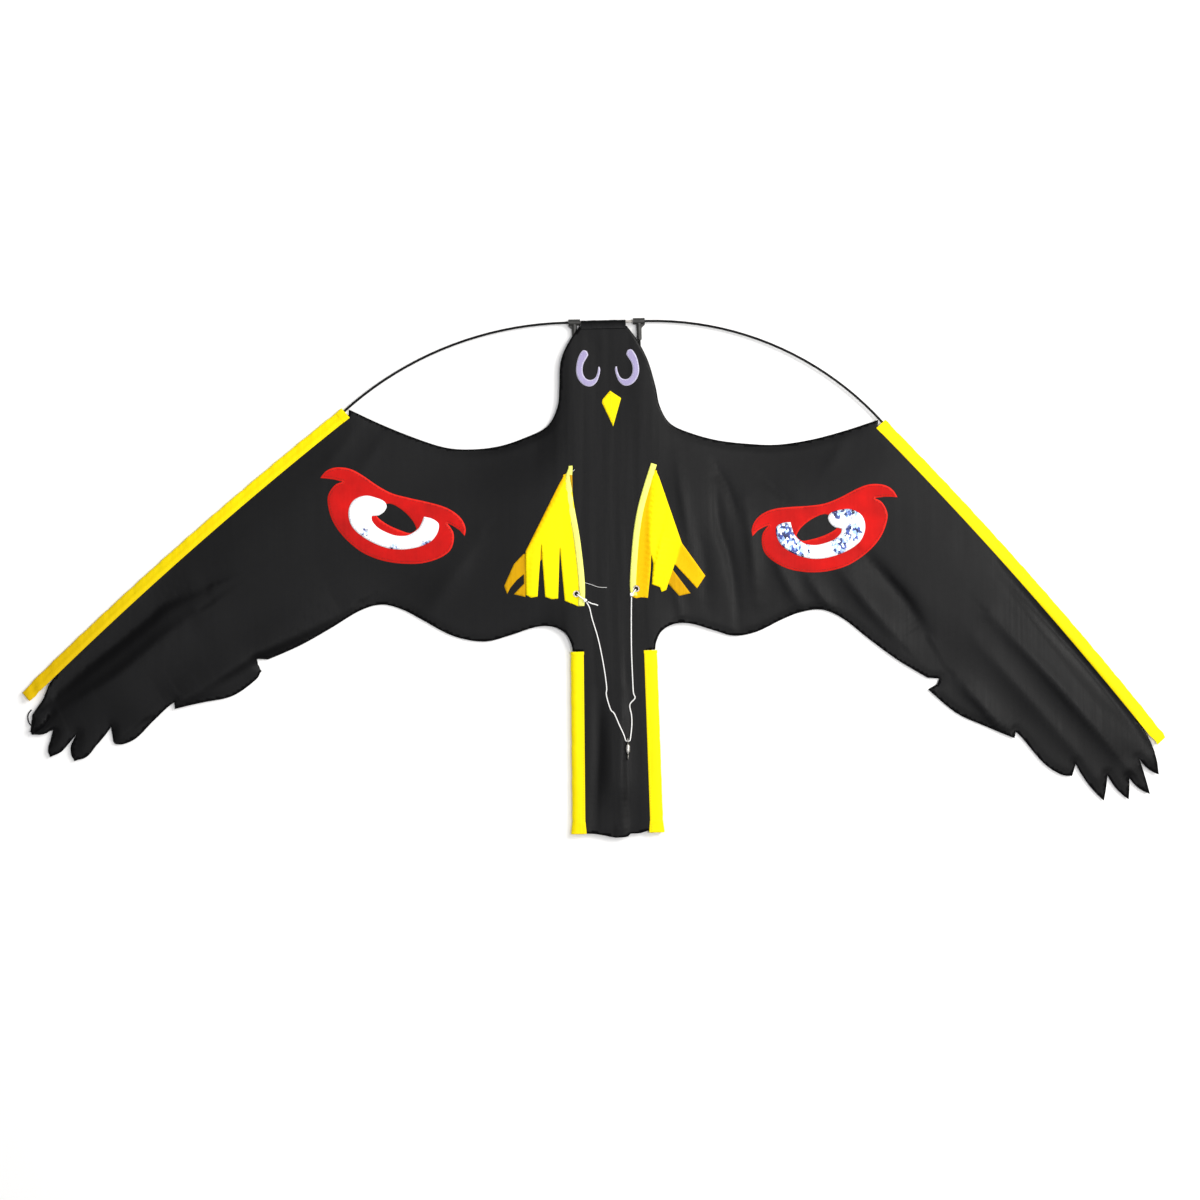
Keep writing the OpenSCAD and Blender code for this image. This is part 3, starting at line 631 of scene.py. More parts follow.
def settle(points):
    """Small shifts in picture points that round the left feathers, free the cloth from its sleeve's end and
    let the tail's edge hang: each is a height times soft steps or bells along and across the feather."""
    u, v = picture(points).T
    border = 75.6 - 0.6 * (v - 734.8)
    third = (u > 46) & (u < border) & (v > 735.5)
    fourth = (u >= border) & (u < 113) & (v > 733)
    # Left sides of the third and fourth feathers, the sleeve's end, the tip and the last feather
    du = -2.6 * third * ease((v - 736) / 12) * (1 - 0.9 * ease((v - 751) / 6)) * (1 - ease((u - 51) / 10))
    du -= 4.8 * fourth * ease((v - 734) / 14) * (1 - 0.65 * ease((v - 754) / 7)) * (1 - ease((u - 76) / 14))
    du += 5.4 * bell((v - 699) / 15) * (1 - ease((u - 36) / 30))
    du -= 4.5 * bell((v - 735) / 10) * (1 - ease((u - 34) / 14))
    du -= 5.0 * bell((u - 266) / 7) * bell((v - 671) / 7)
    # Ends of the fourth and third feathers, the fifth, the second slit, the last feather and the tail
    dv = 4.0 * fourth * bell((u - 86) / 7) * ease((v - 745 + 0.925 * (u - 76.7)) / 14)
    dv += 1.8 * third * bell((u - 60) / 7) * ease((v - 745.7 + 0.81 * (u - 50.5)) / 10)
    dv += 4.6 * ease((u - 111) / 4) * (1 - ease((u - 128) / 34)) * ease((v - 720) / 16)
    dv -= 5.0 * bell((u - 51.5) / 5.6) * bell((v - 734.5) / 5.6)
    dv += 3.6 * bell((u - 232) / 28) * ease((v - 675 + 0.36 * (u - 232)) / 16)
    dv += np.interp(u, *TAIL_EDGE, left=0, right=0) * ease((v - 806) / 26)
    return spot(np.stack([u + du, v + dv], 1))


flat, faces = cut_cloth([[sail_loop]], SAIL_PITCH)
sail_area = net_area(flat, faces)
lain, height = left_tip(flat, rise(flat))
sail = laid("sail_cloth_piece", settle(lain), height, faces)
belongs(sail, "kite", "sail_cloth", "sail")
low, high = height.min() / MM, height.max() / MM
print("sail: %d triangles, %.4f m2, height %.1f to %.1f mm" % (len(faces), sail_area, low, high))

# %% [markdown]
# ## Sleeves
# Each leading edge and each tail side has a yellow sleeve: a strip folded in two round the rod and sewn to
# the sail's edge. From above it is a soft ridge over the rod and a flat seam beside it. A folded strip is a
# profile carried along a path, so the profile is given as a few points across it and the path is the edge.

# %% Wing sleeves
WRAP = [
    # Out from the edge line and height, from the upper seam over the rod and back below, in mm
    (-6.5, 7.35), (-4.6, 7.4), (-2.2, 7.1), (0.6, 6.0), (2.7, 5.35), (4.6, 4.8), (6.1, 3.9), (6.5, 3.2),
    (6.0, 2.4), (4.2, 1.6), (2.4, 1.3), (0.2, 2.2), (-2.4, 4.8), (-4.6, 6.0), (-6.3, 6.2),
]
ACROSS = 46
CREASES = [(31.0, 0.42), (17.3, 0.30), (9.1, 0.20), (5.2, 0.10)]
MOUTH_HEM = 8 * MM
HEM_STEP = 0.3 * MM
FLAT_END = 26 * MM
SEWN_END = 410 * MM


def rumple(along, across, seed):
    """Small creases across a strip: a sum of sines along it whose phase slides with the place across."""
    total = 0
    for k, (wave, share) in enumerate(CREASES):
        phase = seed * 1.7 + k * 2.3
        total = total + share * np.sin(2 * np.pi * (along / MM + across * (9 + 5 * k)) / wave + phase)
    return total


def wrap_grid(wrap, s):
    """A wrap carried along a strip: grids of the place along, the way out and the height, and the share
    of the way across."""
    profile = even(through(np.array(wrap) * MM, 0.3 * MM), ACROSS)
    out, z = (np.repeat(column[None], len(s), 0) for column in profile.T)
    return np.repeat(s[:, None], ACROSS, 1), out, z, np.linspace(0, 1, ACROSS)[None]


def strip(name, flat, z, flip):
    """A folded strip from the places and heights of its rings, kept off the floor."""
    faces = grid_faces(len(flat) // ACROSS, ACROSS, False)
    return laid(name, flat, np.maximum(z, FLOOR_GAP), faces[:, ::-1] if flip else faces)


def sewn_on(made, node):
    """Puts a sleeve on the kite in place of its node."""
    belongs(made, "kite", "yellow_cloth", node)
    return made


def wing_sleeve(hand, seed):
    """The wrap along a leading edge, with a hem step at the mouth, creases and a flattened end at the tip."""
    s = np.sort(np.r_[np.linspace(0, SLEEVE_LEN, 300), MOUTH_HEM, MOUTH_HEM + HEM_STEP])
    along, out, z, v = wrap_grid(WRAP, s)
    mouth = np.where(along <= MOUTH_HEM, 1.0, 0.0)
    tip = ease((along - SLEEVE_LEN + FLAT_END) / FLAT_END)
    crease = rumple(along, v, seed)
    free = np.sin(np.pi * v) ** 0.5
    out = out + 0.35 * MM * crease * free * np.sign(out + 1e-9) + mouth * 0.25 * MM * np.sign(out)
    z = z + 0.30 * MM * crease * free + mouth * 0.2 * MM * np.where(v < 0.5, 1, -1)
    z = z * (1 - tip) + tip * (CLOTH_LEVEL * 0.55 + (z - CLOTH_LEVEL * 0.55) * 0.55)
    out = out * (1 - 0.10 * tip) + tip * 0.8 * MM * np.sin(along / (3.1 * MM) + seed)
    if hand == "left":
        crumple = ease((along - SLEEVE_LEN + 30 * MM) / (20 * MM))
        out = out + crumple * 0.5 * MM * np.sin(along / (2.6 * MM) + 3 * v)
        z = z + crumple * 0.4 * MM * np.sin(along / (2.2 * MM) + 5 * v + 1)
        along = along + 4.5 * MM * ease((along - 380 * MM) / (66 * MM))
    flat = leading(hand, along.ravel(), out.ravel())
    sewn = ease(-out.ravel() / (6 * MM)) * (along.ravel() < SEWN_END)
    z = z.ravel() + sewn * (rise(flat) - CLOTH_LEVEL)
    return strip(hand + "_wing_sleeve_strip", flat, z, hand == "right")


sleeves = [
    sewn_on(wing_sleeve(hand, seed), hand + "_wing_sleeve")
    for hand, seed in (("left", 1.0), ("right", 4.0))
]

# %% [markdown]
# The tail's sleeves are shorter and straight. The rod runs down their middle, the sail's edge lies inside
# them, and both ends are turned in, which shows as a small step. The lower end spreads a little.

# %% Tail sleeves
TAIL_TOP = -79.0
TAIL_END = -271.0
TAIL_RUN = (TAIL_TOP - TAIL_END) * MM
TAIL_WRAP = [
    (-6.7, 7.35), (-4.0, 7.5), (-1.0, 7.65), (2.0, 7.5), (4.6, 6.7), (6.3, 5.2), (6.8, 4.2), (6.4, 3.2),
    (4.4, 2.0), (1.4, 1.3), (-1.4, 1.3), (-3.4, 2.8), (-5.0, 5.2), (-6.5, 6.15),
]
TAIL_MOUTH = 3 * MM
TAIL_HEM = 12 * MM
SPINE_LEAN = 0.012987


def spine_x(y):
    """How far a spine rod lies from the middle: it leans out evenly from its fitting to the tail."""
    return SPINE_TOP[0] + (SPINE_TOP[1] - y) * SPINE_LEAN


def tail_sleeve(hand, seed):
    """The wrap down a spine line from the tail's shoulder to its corner, hemmed at both ends."""
    mouth, low = TAIL_MOUTH / TAIL_RUN, 1 - TAIL_HEM / TAIL_RUN
    s = np.sort(np.r_[np.linspace(0, 1, 150), mouth, mouth + HEM_STEP / TAIL_RUN, low, low + 0.002])
    t, out, z, v = wrap_grid(TAIL_WRAP, s)
    hem = np.where((t * TAIL_RUN <= TAIL_MOUTH) | (t >= low), 1.0, 0.0)
    crease = rumple(t * TAIL_RUN, v, seed)
    free = np.sin(np.pi * v) ** 0.5
    flare = ease((t - 0.93) / 0.07)
    way, upper = np.sign(out), v < 0.5
    out = out + 0.22 * MM * crease * free * way + hem * 0.3 * MM * way + flare * 1.0 * MM * way
    z = z + 0.16 * MM * crease * free + hem * 0.2 * MM * np.where(upper, 1, -1) - flare * 0.3 * MM * upper
    y = TAIL_TOP + t * (TAIL_END - TAIL_TOP)
    flat = row(np.stack([SIDES[hand] * spine_x(y), y], -1).reshape(-1, 2))
    flat[:, 0] += SIDES[hand] * out.ravel()
    return strip(hand + "_tail_sleeve_strip", flat, z.ravel(), hand == "left")


sleeves += [
    sewn_on(tail_sleeve(hand, seed), hand + "_tail_sleeve")
    for hand, seed in (("left", 2.0), ("right", 6.0))
]

# %% [markdown]
# ## Head hem
# The head's front edge is turned over the tube between the two fittings. It is the same dark cloth as the
# sail, and the tube's round shows through it as a soft ridge.

# %% Head hem
HEM_WRAP = [
    (260.2, 7.3), (262.0, 7.4), (264.0, 7.35), (266.2, 7.1), (267.8, 6.7), (269.0, 5.6), (269.6, 3.9),
    (269.2, 2.5), (267.8, 1.5), (266.4, 1.7), (264.4, 3.4), (262.4, 5.6), (260.4, 6.2),
]
HEM_ROWS = 90
HEM_ACROSS = 40
profile = even(through(np.array(HEM_WRAP), 0.3), HEM_ACROSS)
hem_x, v = np.meshgrid(np.linspace(-27.2, 20.1, HEM_ROWS), np.linspace(0, 1, HEM_ACROSS), indexing="ij")
crimp = rumple(hem_x * MM * 1.6, v, 3.0) * np.sin(np.pi * v) ** 0.5
points = np.stack([hem_x, profile[:, 0] + 0.15 * crimp, profile[:, 1] + 0.2 * crimp], -1)
points = row(points).reshape(-1, 3)
faces = grid_faces(HEM_ROWS, HEM_ACROSS, False)[:, ::-1]
hem = belongs(laid("head_hem_strip", points[:, :2], points[:, 2], faces), "kite", "sail_cloth", "head_hem")
print("hem: %.0f mm long" % np.ptp(hem_x))

# %% [markdown]
# ## Figures on the sail
# The red wing eyes with their film crescents, the two pale head eyes and the beak are pieces of cloth and
# film sewn onto the sail. They follow the cloth under them, so they take the same height with a small lift.

# %% Figures
CROWN = 0.14 * MM
CROWN_WIDTH = 2.5 * MM
PAINTED_HIGHLIGHT_RIM = 0.8 * MM


def mark(made, name, values):
    """A number on each point of a piece, for its finish to read."""
    made.data.attributes.new(name, "FLOAT", "POINT").data.foreach_set("value", np.asarray(values, np.float32))


figures = {}
figure_loops = {}
for node, lift, pitch, thickness, slot in [
    # Lift, pitch of the net and thickness are in mm
    ("left_eye_patch", 0.45, 2.4, 0.32, "red_cloth"),
    ("right_eye_patch", 0.45, 2.4, 0.32, "red_cloth"),
    ("left_eye_glint", 0.90, 1.8, 0.16, "glint_film"),
    ("right_eye_glint", 0.90, 1.8, 0.16, "glint_film"),
    ("left_head_eye", 0.45, 1.3, 0.32, "lavender_cloth"),
    ("right_head_eye", 0.45, 1.3, 0.32, "lavender_cloth"),
    ("beak", 0.45, 1.3, 0.32, "yellow_cloth"),
]:
    loops = cut_outline(node)
    flat, faces = cut_cloth([loops], pitch * MM)
    edge = distance(flat, edges(loops))
    z = rise(flat) + lift * MM + CROWN * ease(edge / CROWN_WIDTH)
    made = belongs(laid(node + "_piece", flat, z, faces, thickness * MM), "kite", slot, node)
    # The mark sets a painted highlight along the edges of the red patches and head eyes.
    mark(made, "inner", ease(edge / PAINTED_HIGHLIGHT_RIM))
    figures[node] = made
    figure_loops[node] = loops
print("figures:", ", ".join(figures))

# %% [markdown]
# ## Keels
# Two yellow flaps hang from the belly. Each is sewn down along a line, bound with pale tape on its inner
# edge and cut into strips outside the line, with a second layer below. The height of a keel is the sail's,
# plus waves that grow outward from the seam and a ridge along each fold that the picture shows.

# %% Keel shapes
SEAMS = {"left": row([(-48.5, 108), (-43, -28)]), "right": row([(48, 110), (30, -23)])}
FRONT_LIFT = 1.25 * MM
STRIP_WAVE = 0.4 * MM
DOUBLE_EDGE = 3 * PIXEL
KEEL_FOLDS = {
    # Given as the sail's folds are
    "left": [
        ([(566, 480), (548, 514), (529, 550)], 1.3, 30, 3.5),
        ([(533, 552), (531, 575), (530, 597)], 0.9, 8, 4),
    ],
    "right": [
        ([(656, 471), (651, 522), (649, 556), (645, 598)], 2.6, 15, 5),
        ([(662, 535), (657.5, 555), (651.7, 584)], 2.2, 13, 2.5),
        ([(682, 543), (694, 559), (705, 575)], 1.8, 6, 10),
    ],
}
DOUBLE_UNSHADED = {
    # Picture points round the part of each keel that has two layers and stays bright; outside it the yellow
    # is painted deeper, partly as painted shade
    "left": [
        (576, 455), (568.2, 468), (563.4, 482.4), (527.2, 552.2), (520, 560), (518, 604), (600, 616),
        (600, 455),
    ],
    "right": [
        (652.3, 478), (648.8, 508), (649.6, 541), (651.4, 555), (652, 562), (649, 590), (662, 596),
        (668, 588), (681.5, 543), (660, 462),
    ],
}


def doubled_and_unshaded(points, hand):
    """1 where the keel has two layers and stays bright, 0 where it has one and is painted deeper (partly the
    dark sail under one layer, partly painted shade), easing over three pixels at the border.
    """
    loop = spot(DOUBLE_UNSHADED[hand])
    gap = distance(points, edges([loop])) * np.where(inside(points, [loop]), 1, -1)
    return ease(0.5 + gap / DOUBLE_EDGE)


def lean(points):
    """Draws the top of the left keel to a point: a shift over its last 20 pixels and a squeeze over 10."""
    u, v = picture(points).T
    pull = 1.6 * ease((486 - v) / 20) + 0.38 * (571 - u) * ease((476 - v) / 10)
    return spot(np.stack([u + pull, v], 1))


def beyond(points, hand):
    """Distance outside a keel's seam line, less than nothing on the sewn side."""
    a, b = SEAMS[hand]
    return SIDES[hand] * ((points - a) @ left_of(unit(b - a)))


def curl(points, hand, height):
    """How strips lift off: nothing at the seam, then waves that run outward and change between strips."""
    out = np.maximum(beyond(points, hand), 0)
    along = points[:, 1] / MM
    wave = np.sin(out / (9.5 * MM) + 0.11 * along) + 0.6 * np.sin(out / (4.7 * MM) - 0.07 * along + 1.3)
    return height * ease(out / (26 * MM)) * (0.8 + 0.5 * wave)


def keel_rise(points, hand):
    """Height of a keel's front layer: the cloth under it, its curl and a ridge along each of its folds."""
    z = rise(points) + FRONT_LIFT + curl(points, hand, STRIP_WAVE)
    return z + sum(ridge(points, *fold) for fold in KEEL_FOLDS[hand])


print("keel seams: %.0f and %.0f mm" % tuple(length(seam) / MM for seam in SEAMS.values()))

# %% [markdown]
# The front layer is one cloth cut across the seam, lying over the sail on one side of it and over the keel on
# the other. Where it has a second layer behind it the yellow stays bright. Where it lies on the dark sail
# alone
# it is painted deeper: partly for the dark sail showing through one layer, partly as painted shade where the
# cloth tilts away from the light. A mark on its points says which.

# %% Keels
SEAM_GAP = 1.6 * MM
LAYER_T = 0.32 * MM
BACK_LIFT = 0.65 * MM
BACK_WAVE = 0.15 * MM
FULL_SHARE = 0.31
HALF_SHARE = 0.5
for hand, (a, b) in SEAMS.items():
    n = left_of(unit(b - a))
    joint = [np.array([a - n * SEAM_GAP, b - n * SEAM_GAP, b + n * SEAM_GAP, a + n * SEAM_GAP])]
    cuts = [cut_outline(hand + "_keel_band"), cut_outline(hand + "_keel_flap"), joint]
    flat, faces = cut_cloth(cuts, 1.6 * MM)
    flat = lean(flat) if hand == "left" else flat
    front = laid(hand + "_keel_front", flat, keel_rise(flat, hand), faces, LAYER_T)
    # The mark keeps the yellow bright on two layers; elsewhere it is painted deeper, partly as painted shade.
    mark(front, "inner", doubled_and_unshaded(flat, hand))
    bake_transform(front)
    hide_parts(hand + "_keel_band", hand + "_keel_flap")
    under_flat, under_faces = cut_cloth([cut_outline(hand + "_keel_under")], 1.8 * MM)
    under_z = rise(under_flat) + BACK_LIFT + curl(under_flat, hand, BACK_WAVE)
    under = laid(hand + "_keel_back", under_flat, under_z, under_faces, LAYER_T)
    belongs(under, hand + "_keel", "yellow_cloth", hand + "_keel_under")
    for made, net, tris in ((front, flat, faces), (under, under_flat, under_faces)):
        size = np.ptp(net, axis=0)
        area = net_area(net, tris)
        print(made.name, "%.0f x %.0f mm, %.4f m2" % (*(size / MM), area))
        if area < FULL_SHARE * size[0] * size[1]:
            # A cloth that fills little of its box is declared as the smaller box that it fills by half
            size = size * math.sqrt(area / (HALF_SHARE * size[0] * size[1]))

# %% [markdown]
# ## Bindings
# A pale tape is folded over the inner edge of each keel and sewn through. It is thicker than the cloth and
# slightly crowned, so its middle catches more light than its edges.

# %% Bindings
TAPE_T = 0.5 * MM
TAPE_LIFT = 1.62 * MM
TAPE_CROWN = 0.5 * MM
for hand in SEAMS:
    loops = cut_outline(hand + "_binding")
    flat, faces = cut_cloth([loops], 1.1 * MM)
    edge = distance(flat, edges(loops))
    flat = lean(flat) if hand == "left" else flat
    crown = TAPE_CROWN * ease(edge / (2.6 * MM))
    z = rise(flat) + TAPE_LIFT + crown + 0.10 * MM * np.sin(flat[:, 1] / (2.1 * MM))
    tape = laid(hand + "_binding_tape", flat, z, faces, TAPE_T)
    belongs(tape, "kite", "binding_tape", hand + "_binding")
    area = net_area(flat, faces)

# %% [markdown]
# At the left tape's top a tuck of the keel's cloth shows beside it, two ends of pale sewing thread were left
# uncut on the keel, and a dark one curls off the left wing's tip onto the floor. They are small, but the eye
# finds them.

# %% Tuck and loose threads
TUCK = [(569.4, 474.6), (572.2, 475.2), (572.6, 491), (571.2, 484)]
THREADS = [
    [(585.0, 582.8), (591.7, 584.7), (598.3, 587.0), (606.7, 587.5)],
    [(572.0, 471.2), (573.4, 470.8), (574.7, 469.7)],
]
TIP_THREAD = [(35.0, 726.4), (31.0, 725.6), (28.2, 722.6), (26.9, 717.6), (27.8, 713.4), (30.6, 710.0)]
THREAD_D = 0.4 * MM
TIP_THREAD_D = 1.4 * MM
TUCK_LIFT = 2.4 * MM
TUCK_T = 0.2 * MM
flat, faces = cut_cloth([[spot(TUCK)]], 0.8 * MM)
tuck = laid("left_keel_tuck", flat, rise(flat) + TUCK_LIFT, faces, TUCK_T)
thread_paths = []
for line in THREADS:
    route = through(spot(line), 0.5 * MM)
    lift = np.linspace(1.6, 0.5, len(route)) * MM
    thread_paths.append(np.column_stack([route, rise(route) + lift]))
loose = ring_tubes("loose_threads", thread_paths, THREAD_D / 2, 6)
route = through(spot(TIP_THREAD), 0.5 * MM)
fall = np.linspace(1, 0, len(route)) ** 2 * (rise(route[:1]) - 0.2 * MM) + TIP_THREAD_D / 2
thread_paths.append(np.column_stack([route, fall]))
tip_thread = ring_tubes("tip_thread", thread_paths[-1:], TIP_THREAD_D / 2, 6)
for extra, slot in ((tuck, "yellow_cloth"), (loose, "cord"), (tip_thread, "sail_cloth")):
    belongs(extra, "kite", slot)
print("loose threads:", ["%.0f mm" % (length(path) / MM) for path in thread_paths])

# %% [markdown]
# ## Stitches
# Every sewn edge shows a row of thread. A stitch is a tiny spindle lying along the row, about 2 mm long.
# There are over a thousand, so each has only a few faces, and a whole row is worked out at once from the
# places, directions and heights along it.

# %% Rows of stitches
STITCH_LEN = 1.9 * MM
STITCH_D = 0.5 * MM
STITCH_PITCH = 2.7 * MM
STITCH_LIFT = 0.76 * MM
SLEEVE_LIFT = 0.72 * MM
FILM_LIFT = 1.1 * MM
SPINDLE = np.array([(0.0, 0.25), (0.2, 0.85), (0.5, 1.0), (0.8, 0.85), (1.0, 0.25)])
RING = 5


def stitch_row(path, lift=STITCH_LIFT):
    """Spindles along a flat path, set on the cloth: rings along each, narrow at both ends."""
    count = max(2, round(length(path) / STITCH_PITCH))
    centre = even(path, count)
    ahead = unit(np.gradient(centre, axis=0))
    front, back = centre + ahead * STITCH_LEN / 2, centre - ahead * STITCH_LEN / 2
    zf, zb = rise(front) + lift, rise(back) + lift
    t, radius = SPINDLE[:, 0], STITCH_D / 2 * SPINDLE[:, 1:]
    a = np.linspace(0, 2 * np.pi, RING, endpoint=False)
    flat = back[:, None] + (front - back)[:, None] * t[:, None]
    flat = flat[:, :, None] + left_of(ahead)[:, None, None] * (radius * np.cos(a))[None, :, :, None]
    z = (zb[:, None] + (zf - zb)[:, None] * t)[:, :, None] + (radius * np.sin(a))[None]
    points = np.concatenate([flat, z[..., None]], -1).reshape(-1, 3)
    one = grid_faces(len(t), RING, True)
    return points, (one[None] + len(t) * RING * np.arange(count)[:, None, None]).reshape(-1, 4)


def sew(name, slot, rows):
    """One mesh of several stitch rows, riding on the sail that they are sewn to."""
    start, points, faces = 0, [], []
    for p, f in rows:
        points.append(p)
        faces.append(f + start)
        start += len(p)
    print(name, "%d stitches" % (start // (len(SPINDLE) * RING)))
    return belongs(piece(name, np.vstack(points), np.vstack(faces).tolist()), "kite", slot)


def inset(loop, gap):
    """A closed outline moved inwards along its normals, without the places that come too near its edge."""
    loop = closed(loop)
    loop = even(loop, max(12, round(length(loop) / (1.0 * MM))))
    normal = left_of(unit(np.gradient(loop, axis=0)))
    inner = max((loop + s * gap * normal for s in (1, -1)), key=lambda m: inside(m, [loop]).sum())
    keep = (distance(inner, segments([loop])) > 0.9 * gap) & inside(inner, [loop])
    return inner[keep]


def outlined(kind, gap, lift=STITCH_LIFT):
    """Rows inside the outlines of the left and the right figure of a kind."""
    return [stitch_row(inset(figure_loops[hand + kind][0], gap), lift) for hand in SEAMS]


print("a stitch: %d points" % (len(SPINDLE) * RING))

# %% [markdown]
# The sleeves and the head hem are sewn along one line each, and every figure just inside its outline. The
# beak has a line down its middle as well.

# %% Stitches
along = np.linspace(3 * MM, 408 * MM, 200)
y = np.linspace(TAIL_TOP - 2, TAIL_END + 3, 100)
sleeve_rows = [stitch_row(leading(hand, along, np.full(200, -5.2 * MM)), SLEEVE_LIFT) for hand in LEADING]
sleeve_rows += [stitch_row(row(np.stack([side * (spine_x(y) - 5.4), y], 1))) for side in SIDES.values()]
sleeve_thread = sew("sleeve_stitches", "yellow_cloth", sleeve_rows)
hem_thread = sew("hem_stitches", "sail_cloth", [stitch_row(row([(-26, 261.3), (19, 261.3)]), SLEEVE_LIFT)])
red_thread = sew("eye_patch_stitches", "red_cloth", outlined("_eye_patch", 2.2 * MM))
film_thread = sew("glint_stitches", "glint_film", outlined("_eye_glint", 1.5 * MM, FILM_LIFT))
head_thread = sew("head_eye_stitches", "lavender_cloth", outlined("_head_eye", 1.4 * MM))
beak_loop = figure_loops["beak"][0]
beak_ends = beak_loop[[beak_loop[:, 1].argmax(), beak_loop[:, 1].argmin()]]
beak_line = beak_ends + np.array([[0.08], [-0.08]]) * (beak_ends[1] - beak_ends[0])
beak_rows = [stitch_row(beak_line), stitch_row(inset(beak_loop, 1.4 * MM))]
beak_thread = sew("beak_stitches", "yellow_cloth", beak_rows)

# %% [markdown]
# ## Shader maths
# A finish is a small graph of nodes. To keep the sums readable, `Value` wraps a socket so that ordinary
# operators add Math nodes, and `Finish.node` adds any other node from its type, its settings and what goes
# into its sockets.

# %% Shader maths
class Value:
    """A number in a material's graph; operators on it add Math nodes."""

    def __init__(self, finish, socket):
        self.finish, self.socket = finish, socket

    def _math(self, operation, *inputs):
        return self.finish.node("ShaderNodeMath", {"operation": operation}, dict(enumerate(inputs)))

    def __add__(self, other):
        return self._math("ADD", self, other)

    def __sub__(self, other):
        return self._math("SUBTRACT", self, other)

    def __rsub__(self, other):
        return self._math("SUBTRACT", other, self)

    def __mul__(self, other):
        return self._math("MULTIPLY", self, other)

    def sin(self):
        """The sine of an angle in radians."""
        return self._math("SINE", self)

    def clip(self, low, high):
        """0 up to low, 1 from high on and straight between them."""
        return self.finish.node(
            "ShaderNodeMapRange", {"clamp": True}, {"Value": self, "From Min": low, "From Max": high}
        )

    __radd__ = __add__
    __rmul__ = __mul__


class Finish:
    """One material. Constants go straight on the shader's sockets, and paint() joins what varies."""

    def __init__(self, name, **constants):
        self.material = bpy.data.materials.new(name)
        self.material.use_nodes = True
        self.tree = self.material.node_tree
        self.shader = self.tree.nodes["Principled BSDF"]
        for socket, value in constants.items():
            self.shader.inputs[socket.replace("_", " ")].default_value = value

    def node(self, kind, settings=None, sockets=None, out=0):
        """Adds any node from its type, its settings and what goes into its sockets."""
        made = self.tree.nodes.new(kind)
        for name, value in (settings or {}).items():
            if name == "stops":
                ramp = made.color_ramp
                for k, (at, colour) in enumerate(value):
                    stop = ramp.elements[k] if k < 2 else ramp.elements.new(at)
                    stop.position, stop.color = at, colour
            else:
                setattr(made, name, value)
        for name, value in (sockets or {}).items():
            if isinstance(value, Value):
                self.tree.links.new(value.socket, made.inputs[name])
            else:
                made.inputs[name].default_value = value
        return Value(self, made.outputs[out])

    def place(self, scale=(1, 1, 1), turn=0.0):
        """Object coordinates, turned about the upright and scaled."""
        where = self.node("ShaderNodeTexCoord", out="Object")
        return self.node("ShaderNodeMapping", {}, {"Vector": where, "Rotation": (0, 0, turn), "Scale": scale})

    def axes(self, turn=0.0):
        """The x and y of the object coordinates, turned about the upright."""
        parts = self.node("ShaderNodeSeparateXYZ", {}, {"Vector": self.place(turn=turn)})
        return parts, Value(self, parts.socket.node.outputs[1])

    def noise(self, scale, detail=3.0, rough=0.5, turn=0.0):
        """Noise with a scale for each axis, from 0 to 1 about a half."""
        sockets = {"Vector": self.place(scale, turn), "Scale": 1.0, "Detail": detail, "Roughness": rough}
        return self.node("ShaderNodeTexNoise", {}, sockets)

    def mix(self, share, a, b):
        """Colour a where the share is 0 and b where it is 1."""
        return self.node("ShaderNodeMix", {"data_type": "RGBA"}, {0: share, 6: a, 7: b}, out=2)

    def bump(self, height, distance, strength=1.0):
        """Normals of a height in parts of a distance in metres."""
        return self.node("ShaderNodeBump", {}, {"Height": height, "Distance": distance, "Strength": strength})

    def paint(self, **inputs):
        """Joins the inputs that vary to the shader and gives back the material."""
        for name, value in inputs.items():
            self.tree.links.new(value.socket, self.shader.inputs[name.replace("_", " ")])
        return self.material


def colour(r, g, b):
    """A screen colour as the linear light that a shader works with."""
    c = np.array([r, g, b]) / 255
    linear = np.where(c <= 0.04045, c / 12.92, ((c + 0.055) / 1.055) ** 2.4)
    return (*linear.tolist(), 1.0)


# %% [markdown]
# ## Cloth finishes
# The sail and its trimmings are thin woven polyester. Up close it is a plain weave of threads less than half
# a millimetre apart; from further off it shows only as streaks along the warp and a soft sheen. Both are
# functions of the place on the cloth: two crossed sines for the weave and stretched noise for the streaks.

# %% Cloth finishes
THREAD = 0.42 * MM
SUN = (255, 240, 0)
GOLD = (252, 220, 0)
CLOTHS = {
    # Colour, deeper colour and what differs from the usual cloth
    "dark_sail_cloth": ((9, 9, 10), (6, 6, 7), dict(rough=0.36, specular=0.11, ribs=0.3, depth=0.04)),
    "yellow_cloth": (SUN, GOLD, {}),
    # Painted shade: the left sleeve's yellow darkens towards its tip over the fade's span of x.
    "left_sleeve_painted_shade_cloth": (SUN, GOLD, dict(painted_light_colour=(222, 184, 0), fade=(-0.57, -0.38))),
    # The keel front's deeper outer yellow is partly painted shade and partly the dark sail under a single
    # layer.
    "keel_yellow_cloth": (SUN, (254, 224, 0), dict(turn=0.1, specular=0.1, painted_light_colour=(246, 192, 0))),
    # Painted shade: the keel's second layer and the tuck are the same yellow cloth in a darker, shaded copy.
    "keel_cloth_in_painted_shade": ((224, 172, 0), (194, 144, 0), dict(turn=0.1, specular=0.1)),
    # The red patches and head eyes get a lighter painted highlight along their edges.
    "red_cloth": ((216, 13, 8), (166, 8, 6), dict(specular=0.15, streak=0.12, painted_light_colour=(238, 44, 32))),
    "lavender_cloth": (
        (174, 166, 202), (150, 140, 184), dict(sheen=0.05, specular=0.4, painted_light_colour=(206, 202, 222))
    ),
    "binding_tape": (
        (252, 254, 140), (244, 244, 104), dict(turn=0.1, rough=0.65, sheen=0.05, specular=0.4)
    ),
}


